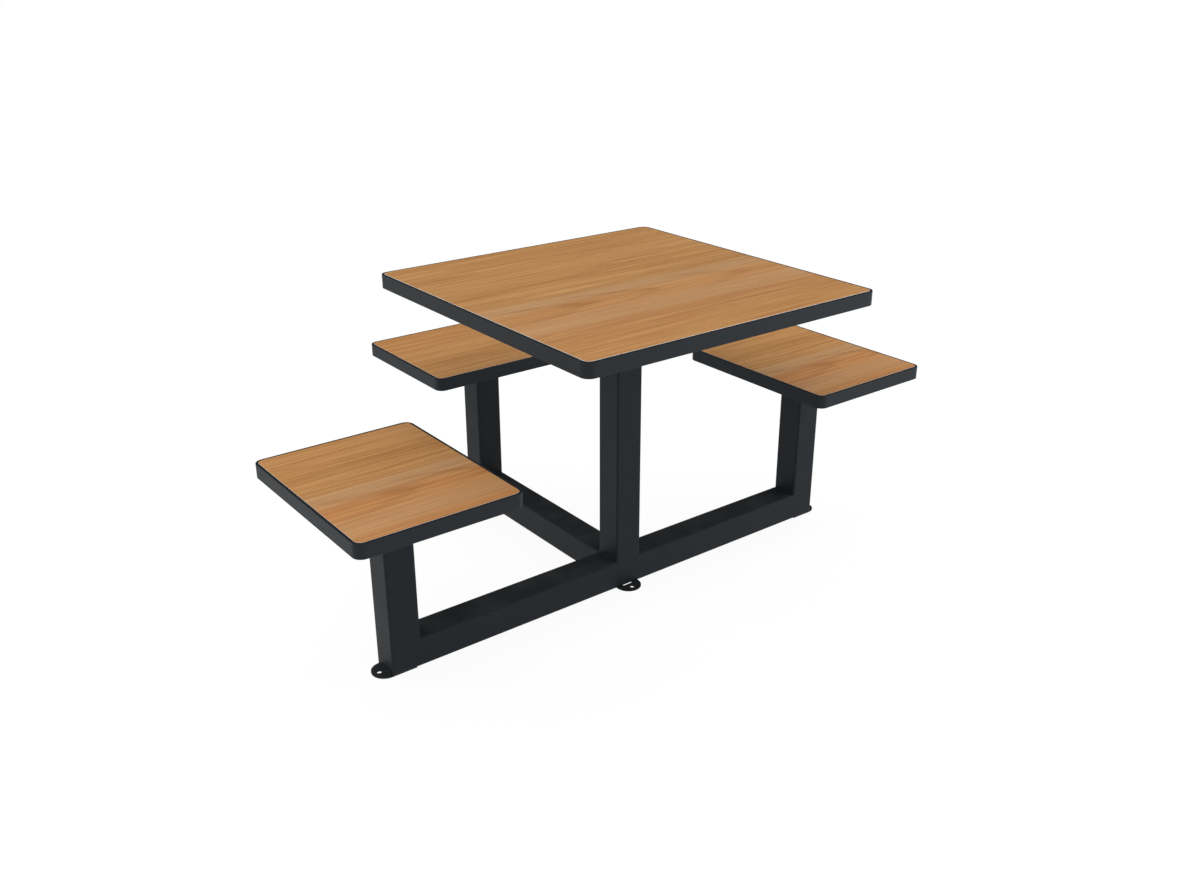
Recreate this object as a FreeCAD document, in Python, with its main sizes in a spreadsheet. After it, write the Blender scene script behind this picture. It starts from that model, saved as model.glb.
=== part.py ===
import FreeCAD, Part
import math
import os
from collections import namedtuple

import Sketcher

# Canteen table with three swivel seats on one welded frame of square steel tube.
#
# The frame stands on the floor plane z = 0. Its long beam lies along X, and the rear beam runs
# from the middle of it towards +Y. The origin is on the floor, under the centre of the table.
# Every seat is drawn in one common position, its post on the Z axis and its outer side towards
# -X, and its placement then turns it and carries it to its place on the frame.

# Driving dimensions in millimetres: alias, value, meaning. Angles are in degrees.
SIZES = (
    ("table_side", 774, "side of the square table top, over its edging"),
    ("table_height", 745, "floor to the top of the table"),
    ("table_board_thickness", 30, "core board of the table top"),
    ("table_corner_radius", 20, "corner of the table top in plan"),
    ("table_edging_width", 6, "edging of the table top, seen from above"),
    ("seat_length", 464, "seat along the edge of the table"),
    ("seat_width", 364, "seat square to the edge of the table"),
    ("seat_height", 446, "floor to the top of a seat"),
    ("seat_board_thickness", 30, "core board of a seat"),
    ("seat_corner_radius", 20, "corner of a seat in plan"),
    ("seat_edging_width", 6, "edging of a seat, seen from above"),
    ("seat_reach", 600, "centre of the table to the axis of a seat"),
    ("laminate_thickness", 1, "decor laminate and backing laminate"),
    ("laminate_rise", 0.4, "decor laminate above the edging, and the bevel of its rim"),
    ("edging_round", 0.8, "round of the edging's outer edges"),
    ("tube_side", 70, "square frame tube, outside"),
    ("tube_wall", 3, "wall of the frame tube"),
    ("tube_corner_radius", 4.5, "outside corner of the frame tube"),
    ("cope_land", 0.35, "thickness left at the lip of a coped tube end"),
    ("anchor_thickness", 3, "anchor plate under the frame"),
    ("anchor_width", 62, "width of an anchor plate, and diameter of its round ear"),
    ("anchor_tail", 24, "seat axis to the inner end of its anchor plate"),
    ("anchor_hole_offset", 15, "tube face to the centre of the anchor hole"),
    ("anchor_hole_diameter", 10.5, "hole for an M10 floor anchor"),
    ("weld_slot_length", 28, "slot of the front anchor plate, along the tube"),
    ("weld_slot_width", 7, "slot of the front anchor plate, across the tube"),
    ("weld_slot_setback", 0.2, "tube face to the outer edge of the slot"),
    ("table_plate_side", 350, "carrier plate of the table top"),
    ("table_plate_thickness", 6, "carrier plate of the table top"),
    ("table_plate_radius", 20, "corner of the carrier plate of the table top"),
    ("table_screw_spacing", 300, "corner screw to corner screw under the table top"),
    ("seat_plate_side", 200, "carrier plate of a seat"),
    ("seat_plate_thickness", 5, "carrier plate of a seat"),
    ("seat_plate_radius", 15, "corner of the carrier plate of a seat"),
    ("seat_screw_spacing", 160, "corner screw to corner screw under a seat"),
    ("screw_diameter", 6, "M6 screws into the boards"),
    ("screw_play", 0.3, "radial play of an M6 screw in its carrier plate"),
    ("screw_head_diameter", 10.5, "button head of an M6 screw"),
    ("screw_head_height", 3.3, "button head of an M6 screw"),
    ("screw_head_crown", 6.5, "flat crown of a button head, diameter"),
    ("screw_head_rim", 0.8, "straight rim of a button head"),
    ("screw_key", 4, "hexagon socket of an M6 screw, across flats"),
    ("screw_key_depth", 2, "depth of an M6 screw's socket"),
    ("screw_grip", 14, "length of an M6 screw inside its insert"),
    ("insert_diameter", 9, "threaded insert in a board"),
    ("insert_length", 16, "threaded insert in a board"),
    ("cap_thickness", 6, "cap welded on a seat post"),
    ("housing_length", 110, "bearing tube below the cap"),
    ("housing_bore", 40, "bearing tube, inside diameter"),
    ("housing_wall", 4, "wall of the bearing tube"),
    ("bush_length", 25, "bush inside the bearing tube"),
    ("bush_flange_diameter", 56, "flange of a bush"),
    ("bush_flange_thickness", 3, "flange of a bush"),
    ("washer_thickness", 2, "thrust washer under the seat plate"),
    ("washer_play", 0.5, "radial play of the thrust washer on the spindle"),
    ("spindle_diameter", 25, "seat spindle"),
    ("spindle_play", 0.05, "radial running play of the spindle in its bushes"),
    ("spindle_tail", 6, "spindle below the lower bush"),
    ("spring_wire", 3.5, "wire of the return spring"),
    ("spring_diameter", 32, "mean diameter of the return spring"),
    ("spring_pitch", 5.5, "pitch of the return spring"),
    ("spring_turns", 7, "turns of the return spring"),
    ("spring_lift", 5, "lower bush to the lowest turn of the return spring"),
    ("tang_diameter", 3.2, "ends of the return spring"),
    ("tang_play", 0.3, "radial play of the spring's ends in their holes"),
    ("tang_depth", 7, "spring end inside the spindle"),
    ("stop_screw_diameter", 8, "M8 stop screw through the post"),
    ("stop_screw_key", 4, "hexagon socket of the stop screw, across flats"),
    ("stop_screw_key_depth", 5, "depth of the stop screw's socket"),
    ("stop_pin_diameter", 5.5, "dog point of the stop screw"),
    ("stop_groove_depth", 4, "part groove round the spindle"),
    ("stop_play", 0.3, "play of the dog point in its groove, on every side"),
    ("stop_drop", 10, "upper bush to the middle of the stop groove"),
    ("swivel_limit", 90, "largest turn of a seat to either side, in degrees"),
)

# A seat's name, its direction from the centre of the table and its turn about Z in degrees.
Seat = namedtuple("Seat", "name along_x along_y turn")
SEATS = (Seat("left", -1, 0, 0), Seat("right", 1, 0, 180), Seat("rear", 0, 1, -90))

NEAR = 1e-6  # lengths below this count as nothing

nodes = []  # the finished pieces, in the order in which they are made

doc = FreeCAD.newDocument("swivel_seat_table")
sheet = doc.addObject("Spreadsheet::Sheet", "Sizes")
for row, (alias, value, meaning) in enumerate(SIZES, start=1):
    sheet.set(f"A{row}", meaning)
    sheet.set(f"B{row}", str(value))
    sheet.setAlias(f"B{row}", alias)
doc.recompute()

# Heights and lengths that follow from the driving dimensions.
BEAM_BASE = "Sizes.anchor_thickness"
BEAM_AXIS = "(Sizes.anchor_thickness + Sizes.tube_side / 2)"
BEAM_TOP = "(Sizes.anchor_thickness + Sizes.tube_side)"
TUBE_HALF = "(Sizes.tube_side / 2)"
TABLE_BASE = "(Sizes.table_height - Sizes.table_board_thickness - 2 * Sizes.laminate_thickness)"
TABLE_PLATE_BASE = f"({TABLE_BASE} - Sizes.table_plate_thickness)"
SEAT_BASE = "(Sizes.seat_height - Sizes.seat_board_thickness - 2 * Sizes.laminate_thickness)"
SEAT_PLATE_BASE = f"({SEAT_BASE} - Sizes.seat_plate_thickness)"
FLANGE_TOP = f"({SEAT_PLATE_BASE} - Sizes.washer_thickness)"
CAP_TOP = f"({FLANGE_TOP} - Sizes.bush_flange_thickness)"
POST_TOP = f"({CAP_TOP} - Sizes.cap_thickness)"
HOUSING_BASE = f"({POST_TOP} - Sizes.housing_length)"
HOUSING_BORE_RADIUS = "(Sizes.housing_bore / 2)"
HOUSING_RADIUS = f"({HOUSING_BORE_RADIUS} + Sizes.housing_wall)"
BUSH_BORE_RADIUS = "(Sizes.spindle_diameter / 2 + Sizes.spindle_play)"
SPINDLE_RADIUS = "(Sizes.spindle_diameter / 2)"
SPINDLE_BASE = f"({HOUSING_BASE} - Sizes.bush_flange_thickness - Sizes.spindle_tail)"
SPRING_BASE = f"({HOUSING_BASE} + Sizes.bush_length + Sizes.spring_lift)"
SPRING_TOP = f"({SPRING_BASE} + Sizes.spring_turns * Sizes.spring_pitch)"
SPRING_RADIUS = "(Sizes.spring_diameter / 2)"
TANG_HOLE_RADIUS = "(Sizes.tang_diameter / 2 + Sizes.tang_play)"
STOP_HEIGHT = f"({CAP_TOP} - Sizes.bush_length - Sizes.stop_drop)"
STOP_FLOOR_RADIUS = f"({SPINDLE_RADIUS} - Sizes.stop_groove_depth)"
STOP_HALF_WIDTH = "(Sizes.stop_pin_diameter / 2 + Sizes.stop_play)"
ANCHOR_HOLE_REACH = f"({TUBE_HALF} + Sizes.anchor_hole_offset)"
# A coped end reaches past the beam's flat face by this much, where its lip is cope_land thick.
COPE_DEPTH = (
    "(Sizes.tube_corner_radius - sqrt(Sizes.tube_corner_radius ^ 2"
    " - (Sizes.tube_corner_radius - Sizes.cope_land) ^ 2))"
)


def size(expression):
    """Return the number that an expression over the sheet has now."""
    return float(sheet.evalExpression(expression))


# ---------------------------------------------------------------- sketches and features


def new_body(label):
    """Add an empty body that will hold one piece."""
    body = doc.addObject("PartDesign::Body", label)
    body.Label = label
    return body


def new_sketch(body, role, offset=None):
    """Add a sketch on one of the body's origin planes, raised along its normal by an expression."""
    plane = next(item for item in body.Origin.OriginFeatures if item.Role == role)
    sketch = body.newObject("Sketcher::SketchObject", f"{body.Label}_outline")
    sketch.AttachmentSupport = [(plane, "")]
    sketch.MapMode = "FlatFace"
    if offset:
        sketch.setExpression(".AttachmentOffset.Base.z", offset)
    return sketch


def bind(sketch, kind, places, expression):
    """Add a dimension to a sketch and bind it to an expression."""
    index = sketch.addConstraint(Sketcher.Constraint(kind, *places, size(expression)))
    sketch.setExpression(f"Constraints[{index}]", expression)


def hold_point(sketch, place, x, y):
    """Fix a sketch point at x and y, each an expression measured from the sketch's origin."""
    for kind, axis, expression in (("DistanceX", -2, x), ("DistanceY", -1, y)):
        now = size(expression)
        if abs(now) < NEAR:
            sketch.addConstraint(Sketcher.Constraint("PointOnObject", *place, axis))
        elif now > 0:
            bind(sketch, kind, (-1, 1, *place), expression)
        else:
            bind(sketch, kind, (*place, -1, 1), f"-({expression})")


def draw_polygon(sketch, points):
    """Draw a closed polygon through points whose coordinates are expressions."""
    corners = [FreeCAD.Vector(size(x), size(y), 0) for x, y in points]
    lines = []
    for start, end in zip(corners, corners[1:] + corners[:1]):
        lines.append(sketch.addGeometry(Part.LineSegment(start, end), False))
    for line, following in zip(lines, lines[1:] + lines[:1]):
        sketch.addConstraint(Sketcher.Constraint("Coincident", line, 2, following, 1))
    for line, (x, y) in zip(lines, points):
        hold_point(sketch, (line, 1), x, y)


def draw_circle(sketch, x, y, radius):
    """Draw a circle whose centre and radius are expressions."""
    centre = FreeCAD.Vector(size(x), size(y), 0)
    circle = Part.Circle(centre, FreeCAD.Vector(0, 0, 1), size(radius))
    index = sketch.addGeometry(circle, False)
    hold_point(sketch, (index, 3), x, y)
    bind(sketch, "Radius", (index,), radius)


def draw_rounded_rectangle(sketch, width, height, radius):
    """Draw a rectangle with round corners, centred on the sketch's origin."""
    half_x = size(width) / 2
    half_y = size(height) / 2
    round_now = size(radius)
    flat_x = half_x - round_now
    flat_y = half_y - round_now
    ends = (
        ((-flat_x, -half_y), (flat_x, -half_y)),
        ((half_x, -flat_y), (half_x, flat_y)),
        ((flat_x, half_y), (-flat_x, half_y)),
        ((-half_x, flat_y), (-half_x, -flat_y)),
    )
    centres = ((flat_x, -flat_y), (flat_x, flat_y), (-flat_x, flat_y), (-flat_x, -flat_y))
    lines = []
    arcs = []
    for quarter, ((start, end), centre) in enumerate(zip(ends, centres)):
        line = Part.LineSegment(FreeCAD.Vector(*start, 0), FreeCAD.Vector(*end, 0))
        lines.append(sketch.addGeometry(line, False))
        circle = Part.Circle(FreeCAD.Vector(*centre, 0), FreeCAD.Vector(0, 0, 1), round_now)
        turn = (quarter - 1) * math.pi / 2
        arcs.append(sketch.addGeometry(Part.ArcOfCircle(circle, turn, turn + math.pi / 2), False))
    for place in range(4):
        following = lines[(place + 1) % 4]
        sketch.addConstraint(Sketcher.Constraint("Tangent", lines[place], 2, arcs[place], 1))
        sketch.addConstraint(Sketcher.Constraint("Tangent", arcs[place], 2, following, 1))
    for arc in arcs[1:]:
        sketch.addConstraint(Sketcher.Constraint("Equal", arcs[0], arc))
    sketch.addConstraint(Sketcher.Constraint("Horizontal", lines[2]))
    sketch.addConstraint(Sketcher.Constraint("Vertical", lines[3]))
    sketch.addConstraint(Sketcher.Constraint("Symmetric", lines[0], 1, lines[0], 2, -2))
    sketch.addConstraint(Sketcher.Constraint("Symmetric", lines[1], 1, lines[1], 2, -1))
    bind(sketch, "DistanceX", (lines[3], 1, lines[1], 1), width)
    bind(sketch, "DistanceY", (lines[0], 1, lines[2], 1), height)
    bind(sketch, "Radius", (arcs[0],), radius)


def draw_tube_section(sketch):
    """Draw the section of the frame tube, its outside and its bore."""
    draw_rounded_rectangle(sketch, "Sizes.tube_side", "Sizes.tube_side", "Sizes.tube_corner_radius")
    bore = "(Sizes.tube_side - 2 * Sizes.tube_wall)"
    draw_rounded_rectangle(sketch, bore, bore, "(Sizes.tube_corner_radius - Sizes.tube_wall)")


def add_pad(body, sketch, length, reverse=False, symmetric=False):
    """Raise a sketch into a solid."""
    pad = body.newObject("PartDesign::Pad", f"{body.Label}_pad")
    pad.Profile = sketch
    pad.setExpression("Length", length)
    pad.Reversed = reverse
    pad.Midplane = symmetric


def add_pocket(body, sketch, depth=None, reverse=False, symmetric=False):
    """Cut a sketch out of the body: to a depth, or right through where none is given."""
    before = body.Shape.Volume
    pocket = body.newObject("PartDesign::Pocket", f"{body.Label}_pocket")
    pocket.Profile = sketch
    if depth:
        pocket.setExpression("Length", depth)
    else:
        pocket.Type = "ThroughAll"
    pocket.Reversed = reverse
    pocket.Midplane = symmetric
    doc.recompute()
    if body.Shape.Volume >= before:
        raise RuntimeError(f"{body.Label}: a pocket cuts nothing")
    return pocket


def rectangle(inner, outer, lower, upper):
    """Corners of a rectangle between two distances from the Z axis and two heights."""
    return ((inner, lower), (outer, lower), (outer, upper), (inner, upper))


def add_revolution(body, points):
    """Turn a polygon of (radius, height) expressions about the body's Z axis."""
    sketch = new_sketch(body, "XZ_Plane")
    draw_polygon(sketch, points)
    revolution = body.newObject("PartDesign::Revolution", f"{body.Label}_revolution")
    revolution.Profile = sketch
    revolution.ReferenceAxis = (sketch, ["V_Axis"])
    revolution.Angle = 360


def add_square_pattern(body, features):
    """Repeat features at every quarter turn about the body's Z axis."""
    pattern = body.newObject("PartDesign::PolarPattern", f"{body.Label}_pattern")
    pattern.Originals = features
    axis = next(item for item in body.Origin.OriginFeatures if item.Role == "Z_Axis")
    pattern.Axis = (axis, [""])
    pattern.Angle = 360
    pattern.Occurrences = 4
    body.Tip = pattern
    doc.recompute()


def add_hole_square(body, plane, spacing, radius, with_sides, depth=None):
    """Cut holes at the corners of a square from below, and at the middles of its sides."""
    places = [(f"({spacing} / 2)", f"({spacing} / 2)")]
    if with_sides:
        places.append((f"({spacing} / 2)", "0"))
    features = []
    for x, y in places:
        sketch = new_sketch(body, "XY_Plane", plane)
        draw_circle(sketch, x, y, radius)
        features.append(add_pocket(body, sketch, depth, reverse=True))
    add_square_pattern(body, features)


def level_edges(feature, only_top=False):
    """Return a feature with the names of its edges that lie level: all of them, or those on top."""
    top = feature.Shape.BoundBox.ZMax
    names = []
    for number, edge in enumerate(feature.Shape.Edges, start=1):
        below_top = abs(top - edge.BoundBox.ZMax) > NEAR
        if edge.BoundBox.ZLength < NEAR and not (only_top and below_top):
            names.append(f"Edge{number}")
    return feature, names


def round_level_edges(body, radius):
    """Round every edge of a plate's two faces."""
    base = level_edges(body.Tip)
    fillet = body.newObject("PartDesign::Fillet", f"{body.Label}_fillet")
    fillet.Base = base
    fillet.setExpression("Radius", radius)
    doc.recompute()


def bevel_top_edges(body, width):
    """Bevel every edge of a plate's upper face at 45 degrees."""
    base = level_edges(body.Tip, only_top=True)
    chamfer = body.newObject("PartDesign::Chamfer", f"{body.Label}_bevel")
    chamfer.Base = base
    chamfer.setExpression("Size", width)
    doc.recompute()


def place(piece, x="0", y="0", z="0", turn=0):
    """Turn a piece about Z and carry it to a place whose coordinates are expressions."""
    piece.Placement = FreeCAD.Placement(
        FreeCAD.Vector(size(x), size(y), size(z)),
        FreeCAD.Rotation(FreeCAD.Vector(0, 0, 1), turn),
    )
    piece.setExpression(".Placement.Base.x", x)
    piece.setExpression(".Placement.Base.y", y)
    piece.setExpression(".Placement.Base.z", z)
    nodes.append(piece)


def place_at_seat(piece, seat):
    """Carry a piece from the common drawing position to its seat."""
    x = f"{seat.along_x} * Sizes.seat_reach"
    y = f"{seat.along_y} * Sizes.seat_reach"
    place(piece, x, y, turn=seat.turn)


# ---------------------------------------------------------------- welded frame


def cut_mitre(body, corner_x, corner_z, side_x, side_z):
    """Cut a tube end at 45 degrees with a right triangle that leaves the tube on one side.

    The triangle's right angle is at (corner_x, corner_z), and its legs run from there by two
    tube sides, side_x (+1 or -1) along X and side_z (+1 or -1) along Z.
    """
    sketch = new_sketch(body, "XZ_Plane")
    leg = "2 * Sizes.tube_side"
    draw_polygon(
        sketch,
        (
            (corner_x, corner_z),
            (f"({corner_x} + {side_x} * {leg})", corner_z),
            (corner_x, f"({corner_z} + {side_z} * {leg})"),
        ),
    )
    add_pocket(body, sketch, symmetric=True)


def cut_cope(body, role, centre_y):
    """Fit a tube end round the long beam by cutting the beam's outside out of it.

    The beam's section is drawn on the given plane, its centre centre_y above the sketch's origin.
    """
    sketch = new_sketch(body, role)
    draw_rounded_rectangle(sketch, "Sizes.tube_side", "Sizes.tube_side", "Sizes.tube_corner_radius")
    sketch.setExpression(".AttachmentOffset.Base.y", centre_y)
    add_pocket(body, sketch, symmetric=True)


def make_long_beam():
    """Tube under the table from the left seat to the right one, mitred at both ends."""
    body = new_body("long_beam")
    sketch = new_sketch(body, "YZ_Plane")
    draw_tube_section(sketch)
    add_pad(body, sketch, f"2 * (Sizes.seat_reach + {TUBE_HALF})", symmetric=True)
    doc.recompute()
    for side in (-1, 1):
        corner_x = f"({side} * (Sizes.seat_reach + Sizes.tube_side))"
        cut_mitre(body, corner_x, "Sizes.tube_side", -side, -1)
    place(body, z=BEAM_AXIS)


def make_rear_beam():
    """Tube from the long beam to the rear seat: coped to the beam and the post, mitred at the seat."""
    body = new_body("rear_beam")
    start = f"({TUBE_HALF} - {COPE_DEPTH})"
    sketch = new_sketch(body, "YZ_Plane", start)
    draw_tube_section(sketch)
    add_pad(body, sketch, f"(Sizes.seat_reach + {TUBE_HALF} - {start})")
    doc.recompute()
    cut_mitre(body, "(Sizes.seat_reach + Sizes.tube_side)", "Sizes.tube_side", -1, -1)
    cut_cope(body, "XZ_Plane", "0")
    foot = new_sketch(body, "XY_Plane", f"({TUBE_HALF} - {COPE_DEPTH})")
    draw_rounded_rectangle(foot, "Sizes.tube_side", "Sizes.tube_side", "Sizes.tube_corner_radius")
    add_pocket(body, foot, reverse=True)
    place(body, z=BEAM_AXIS, turn=90)


def make_seat_post(seat):
    """Upright tube of a seat: mitred onto its beam, and drilled for the stop screw."""
    body = new_body(f"{seat.name}_post")
    sketch = new_sketch(body, "XY_Plane", BEAM_BASE)
    draw_tube_section(sketch)
    add_pad(body, sketch, f"({POST_TOP} - {BEAM_BASE})")
    doc.recompute()
    cut_mitre(body, "Sizes.tube_side", f"({BEAM_BASE} - {TUBE_HALF})", -1, 1)
    hole = new_sketch(body, "YZ_Plane")
    draw_circle(hole, "0", STOP_HEIGHT, "Sizes.stop_screw_diameter / 2")
    add_pocket(body, hole)
    place_at_seat(body, seat)


def make_central_post():
    """Upright tube of the table, coped onto the long beam."""
    body = new_body("central_post")
    start = f"({BEAM_TOP} - {COPE_DEPTH})"
    sketch = new_sketch(body, "XY_Plane", start)
    draw_tube_section(sketch)
    add_pad(body, sketch, f"({TABLE_PLATE_BASE} - {start})")
    doc.recompute()
    cut_cope(body, "YZ_Plane", BEAM_AXIS)
    place(body)


def make_anchor_plate(label, with_slot):
    """Plate under a tube, with a round ear beyond the tube's face for a floor anchor."""
    body = new_body(label)
    sketch = new_sketch(body, "XY_Plane")
    half = size("Sizes.anchor_width / 2")
    ear = -size(TUBE_HALF)
    tail = size("Sizes.anchor_tail")
    lower = Part.LineSegment(FreeCAD.Vector(ear, -half, 0), FreeCAD.Vector(tail, -half, 0))
    end = Part.LineSegment(FreeCAD.Vector(tail, -half, 0), FreeCAD.Vector(tail, half, 0))
    upper = Part.LineSegment(FreeCAD.Vector(tail, half, 0), FreeCAD.Vector(ear, half, 0))
    circle = Part.Circle(FreeCAD.Vector(ear, 0, 0), FreeCAD.Vector(0, 0, 1), half)
    arc = Part.ArcOfCircle(circle, math.pi / 2, 3 * math.pi / 2)
    lower, end, upper, arc = sketch.addGeometry([lower, end, upper, arc], False)
    sketch.addConstraint(Sketcher.Constraint("Coincident", lower, 2, end, 1))
    sketch.addConstraint(Sketcher.Constraint("Coincident", end, 2, upper, 1))
    sketch.addConstraint(Sketcher.Constraint("Tangent", upper, 2, arc, 1))
    sketch.addConstraint(Sketcher.Constraint("Tangent", arc, 2, lower, 1))
    sketch.addConstraint(Sketcher.Constraint("Horizontal", lower))
    sketch.addConstraint(Sketcher.Constraint("Vertical", end))
    hold_point(sketch, (arc, 3), f"-{TUBE_HALF}", "0")
    bind(sketch, "Radius", (arc,), "Sizes.anchor_width / 2")
    bind(sketch, "DistanceX", (-1, 1, end, 1), "Sizes.anchor_tail")
    draw_circle(sketch, f"-{ANCHOR_HOLE_REACH}", "0", "Sizes.anchor_hole_diameter / 2")
    if with_slot:
        outer = f"-({TUBE_HALF} - Sizes.weld_slot_setback)"
        inner = f"({outer} + Sizes.weld_slot_width)"
        side = "(Sizes.weld_slot_length / 2)"
        corners = ((outer, f"-{side}"), (inner, f"-{side}"), (inner, side), (outer, side))
        draw_polygon(sketch, corners)
    add_pad(body, sketch, "Sizes.anchor_thickness")
    return body


def make_table_plate():
    """Carrier plate of the table top, welded on the central post."""
    body = new_body("table_plate")
    sketch = new_sketch(body, "XY_Plane", TABLE_PLATE_BASE)
    side = "Sizes.table_plate_side"
    draw_rounded_rectangle(sketch, side, side, "Sizes.table_plate_radius")
    add_pad(body, sketch, "Sizes.table_plate_thickness")
    doc.recompute()
    radius = "(Sizes.screw_diameter / 2 + Sizes.screw_play)"
    add_hole_square(body, TABLE_PLATE_BASE, "Sizes.table_screw_spacing", radius, with_sides=True)
    place(body)


# ---------------------------------------------------------------- table top and seats


def make_panel_layers(prefix, outline, base, board_thickness, screw_spacing, with_sides):
    """Board, top laminate, backing and edging of a table top or a seat.

    outline holds the expressions of the X length, the Y length, the corner radius and the width
    of the edging, and base is the height of the panel's underside. The top laminate stands proud of
    the edging, and its bevel runs down to it.
    """
    length, width, corner, edging = outline
    core = (f"({length} - 2 * {edging})", f"({width} - 2 * {edging})", f"({corner} - {edging})")
    laminate = "Sizes.laminate_thickness"
    board_base = f"({base} + {laminate})"
    board_top = f"({board_base} + {board_thickness})"
    hole_radius = "Sizes.insert_diameter / 2"
    pieces = []
    for name, bottom, height in (
        ("board", board_base, board_thickness),
        ("laminate", board_top, laminate),
        ("backing", base, laminate),
    ):
        body = new_body(f"{prefix}_{name}")
        sketch = new_sketch(body, "XY_Plane", bottom)
        draw_rounded_rectangle(sketch, *core)
        add_pad(body, sketch, height)
        doc.recompute()
        if name == "laminate":
            bevel_top_edges(body, "Sizes.laminate_rise")
        else:
            depth = f"(Sizes.insert_length - {laminate})" if name == "board" else None
            add_hole_square(body, bottom, screw_spacing, hole_radius, with_sides, depth)
        pieces.append(body)

    rim = new_body(f"{prefix}_edging")
    outside = new_sketch(rim, "XY_Plane", base)
    draw_rounded_rectangle(outside, length, width, corner)
    add_pad(rim, outside, f"({board_thickness} + 2 * {laminate} - Sizes.laminate_rise)")
    doc.recompute()
    round_level_edges(rim, "Sizes.edging_round")
    inside = new_sketch(rim, "XY_Plane", base)
    draw_rounded_rectangle(inside, *core)
    add_pocket(rim, inside, reverse=True)
    pieces.append(rim)
    return pieces


def make_table_top():
    """The four layers of the table top."""
    side = "Sizes.table_side"
    outline = (side, side, "Sizes.table_corner_radius", "Sizes.table_edging_width")
    board = "Sizes.table_board_thickness"
    spacing = "Sizes.table_screw_spacing"
    for piece in make_panel_layers("table", outline, TABLE_BASE, board, spacing, True):
        place(piece)


def make_seat_panel(seat):
    """The four layers of one seat."""
    corner = "Sizes.seat_corner_radius"
    outline = ("Sizes.seat_width", "Sizes.seat_length", corner, "Sizes.seat_edging_width")
    board = "Sizes.seat_board_thickness"
    spacing = "Sizes.seat_screw_spacing"
    for piece in make_panel_layers(f"{seat.name}_seat", outline, SEAT_BASE, board, spacing, False):
        place_at_seat(piece, seat)


def make_seat_plate(seat):
    """Carrier plate of a seat, with the hole in which the spindle is welded."""
    body = new_body(f"{seat.name}_seat_plate")
    sketch = new_sketch(body, "XY_Plane", SEAT_PLATE_BASE)
    side = "Sizes.seat_plate_side"
    draw_rounded_rectangle(sketch, side, side, "Sizes.seat_plate_radius")
    draw_circle(sketch, "0", "0", SPINDLE_RADIUS)
    add_pad(body, sketch, "Sizes.seat_plate_thickness")
    doc.recompute()
    radius = "(Sizes.screw_diameter / 2 + Sizes.screw_play)"
    add_hole_square(body, SEAT_PLATE_BASE, "Sizes.seat_screw_spacing", radius, with_sides=False)
    place_at_seat(body, seat)


# ---------------------------------------------------------------- swivel bearing


def make_housing(seat):
    """Cap of a seat post with its bearing tube, drilled for the stop screw and the spring."""
    body = new_body(f"{seat.name}_housing")
    cap = new_sketch(body, "XY_Plane", POST_TOP)
    draw_rounded_rectangle(cap, "Sizes.tube_side", "Sizes.tube_side", "Sizes.tube_corner_radius")
    draw_circle(cap, "0", "0", HOUSING_BORE_RADIUS)
    add_pad(body, cap, "Sizes.cap_thickness")
    tube = new_sketch(body, "XY_Plane", POST_TOP)
    draw_circle(tube, "0", "0", HOUSING_RADIUS)
    draw_circle(tube, "0", "0", HOUSING_BORE_RADIUS)
    add_pad(body, tube, "Sizes.housing_length", reverse=True)
    doc.recompute()
    stop_hole = new_sketch(body, "YZ_Plane")
    draw_circle(stop_hole, "0", STOP_HEIGHT, "Sizes.stop_screw_diameter / 2")
    add_pocket(body, stop_hole)
    tang_hole = new_sketch(body, "YZ_Plane")
    draw_circle(tang_hole, "Sizes.spring_wire / 2", SPRING_BASE, TANG_HOLE_RADIUS)
    add_pocket(body, tang_hole, reverse=True)
    place_at_seat(body, seat)


def make_bush(seat, name, mouth, inward):
    """Flanged bush in one mouth of the bearing tube; inward is +1 or -1 along Z."""
    body = new_body(f"{seat.name}_{name}_bush")
    flange = f"({mouth} - {inward} * Sizes.bush_flange_thickness)"
    inner = f"({mouth} + {inward} * Sizes.bush_length)"
    flange_radius = "(Sizes.bush_flange_diameter / 2)"
    points = (
        (BUSH_BORE_RADIUS, flange),
        (flange_radius, flange),
        (flange_radius, mouth),
        (HOUSING_BORE_RADIUS, mouth),
        (HOUSING_BORE_RADIUS, inner),
        (BUSH_BORE_RADIUS, inner),
    )
    add_revolution(body, points)
    place_at_seat(body, seat)


def make_thrust_washer(seat):
    """Washer between the upper bush and the seat plate."""
    body = new_body(f"{seat.name}_thrust_washer")
    bore = f"({SPINDLE_RADIUS} + Sizes.washer_play)"
    rim = "(Sizes.bush_flange_diameter / 2)"
    add_revolution(body, rectangle(bore, rim, FLANGE_TOP, SEAT_PLATE_BASE))
    place_at_seat(body, seat)


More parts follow.
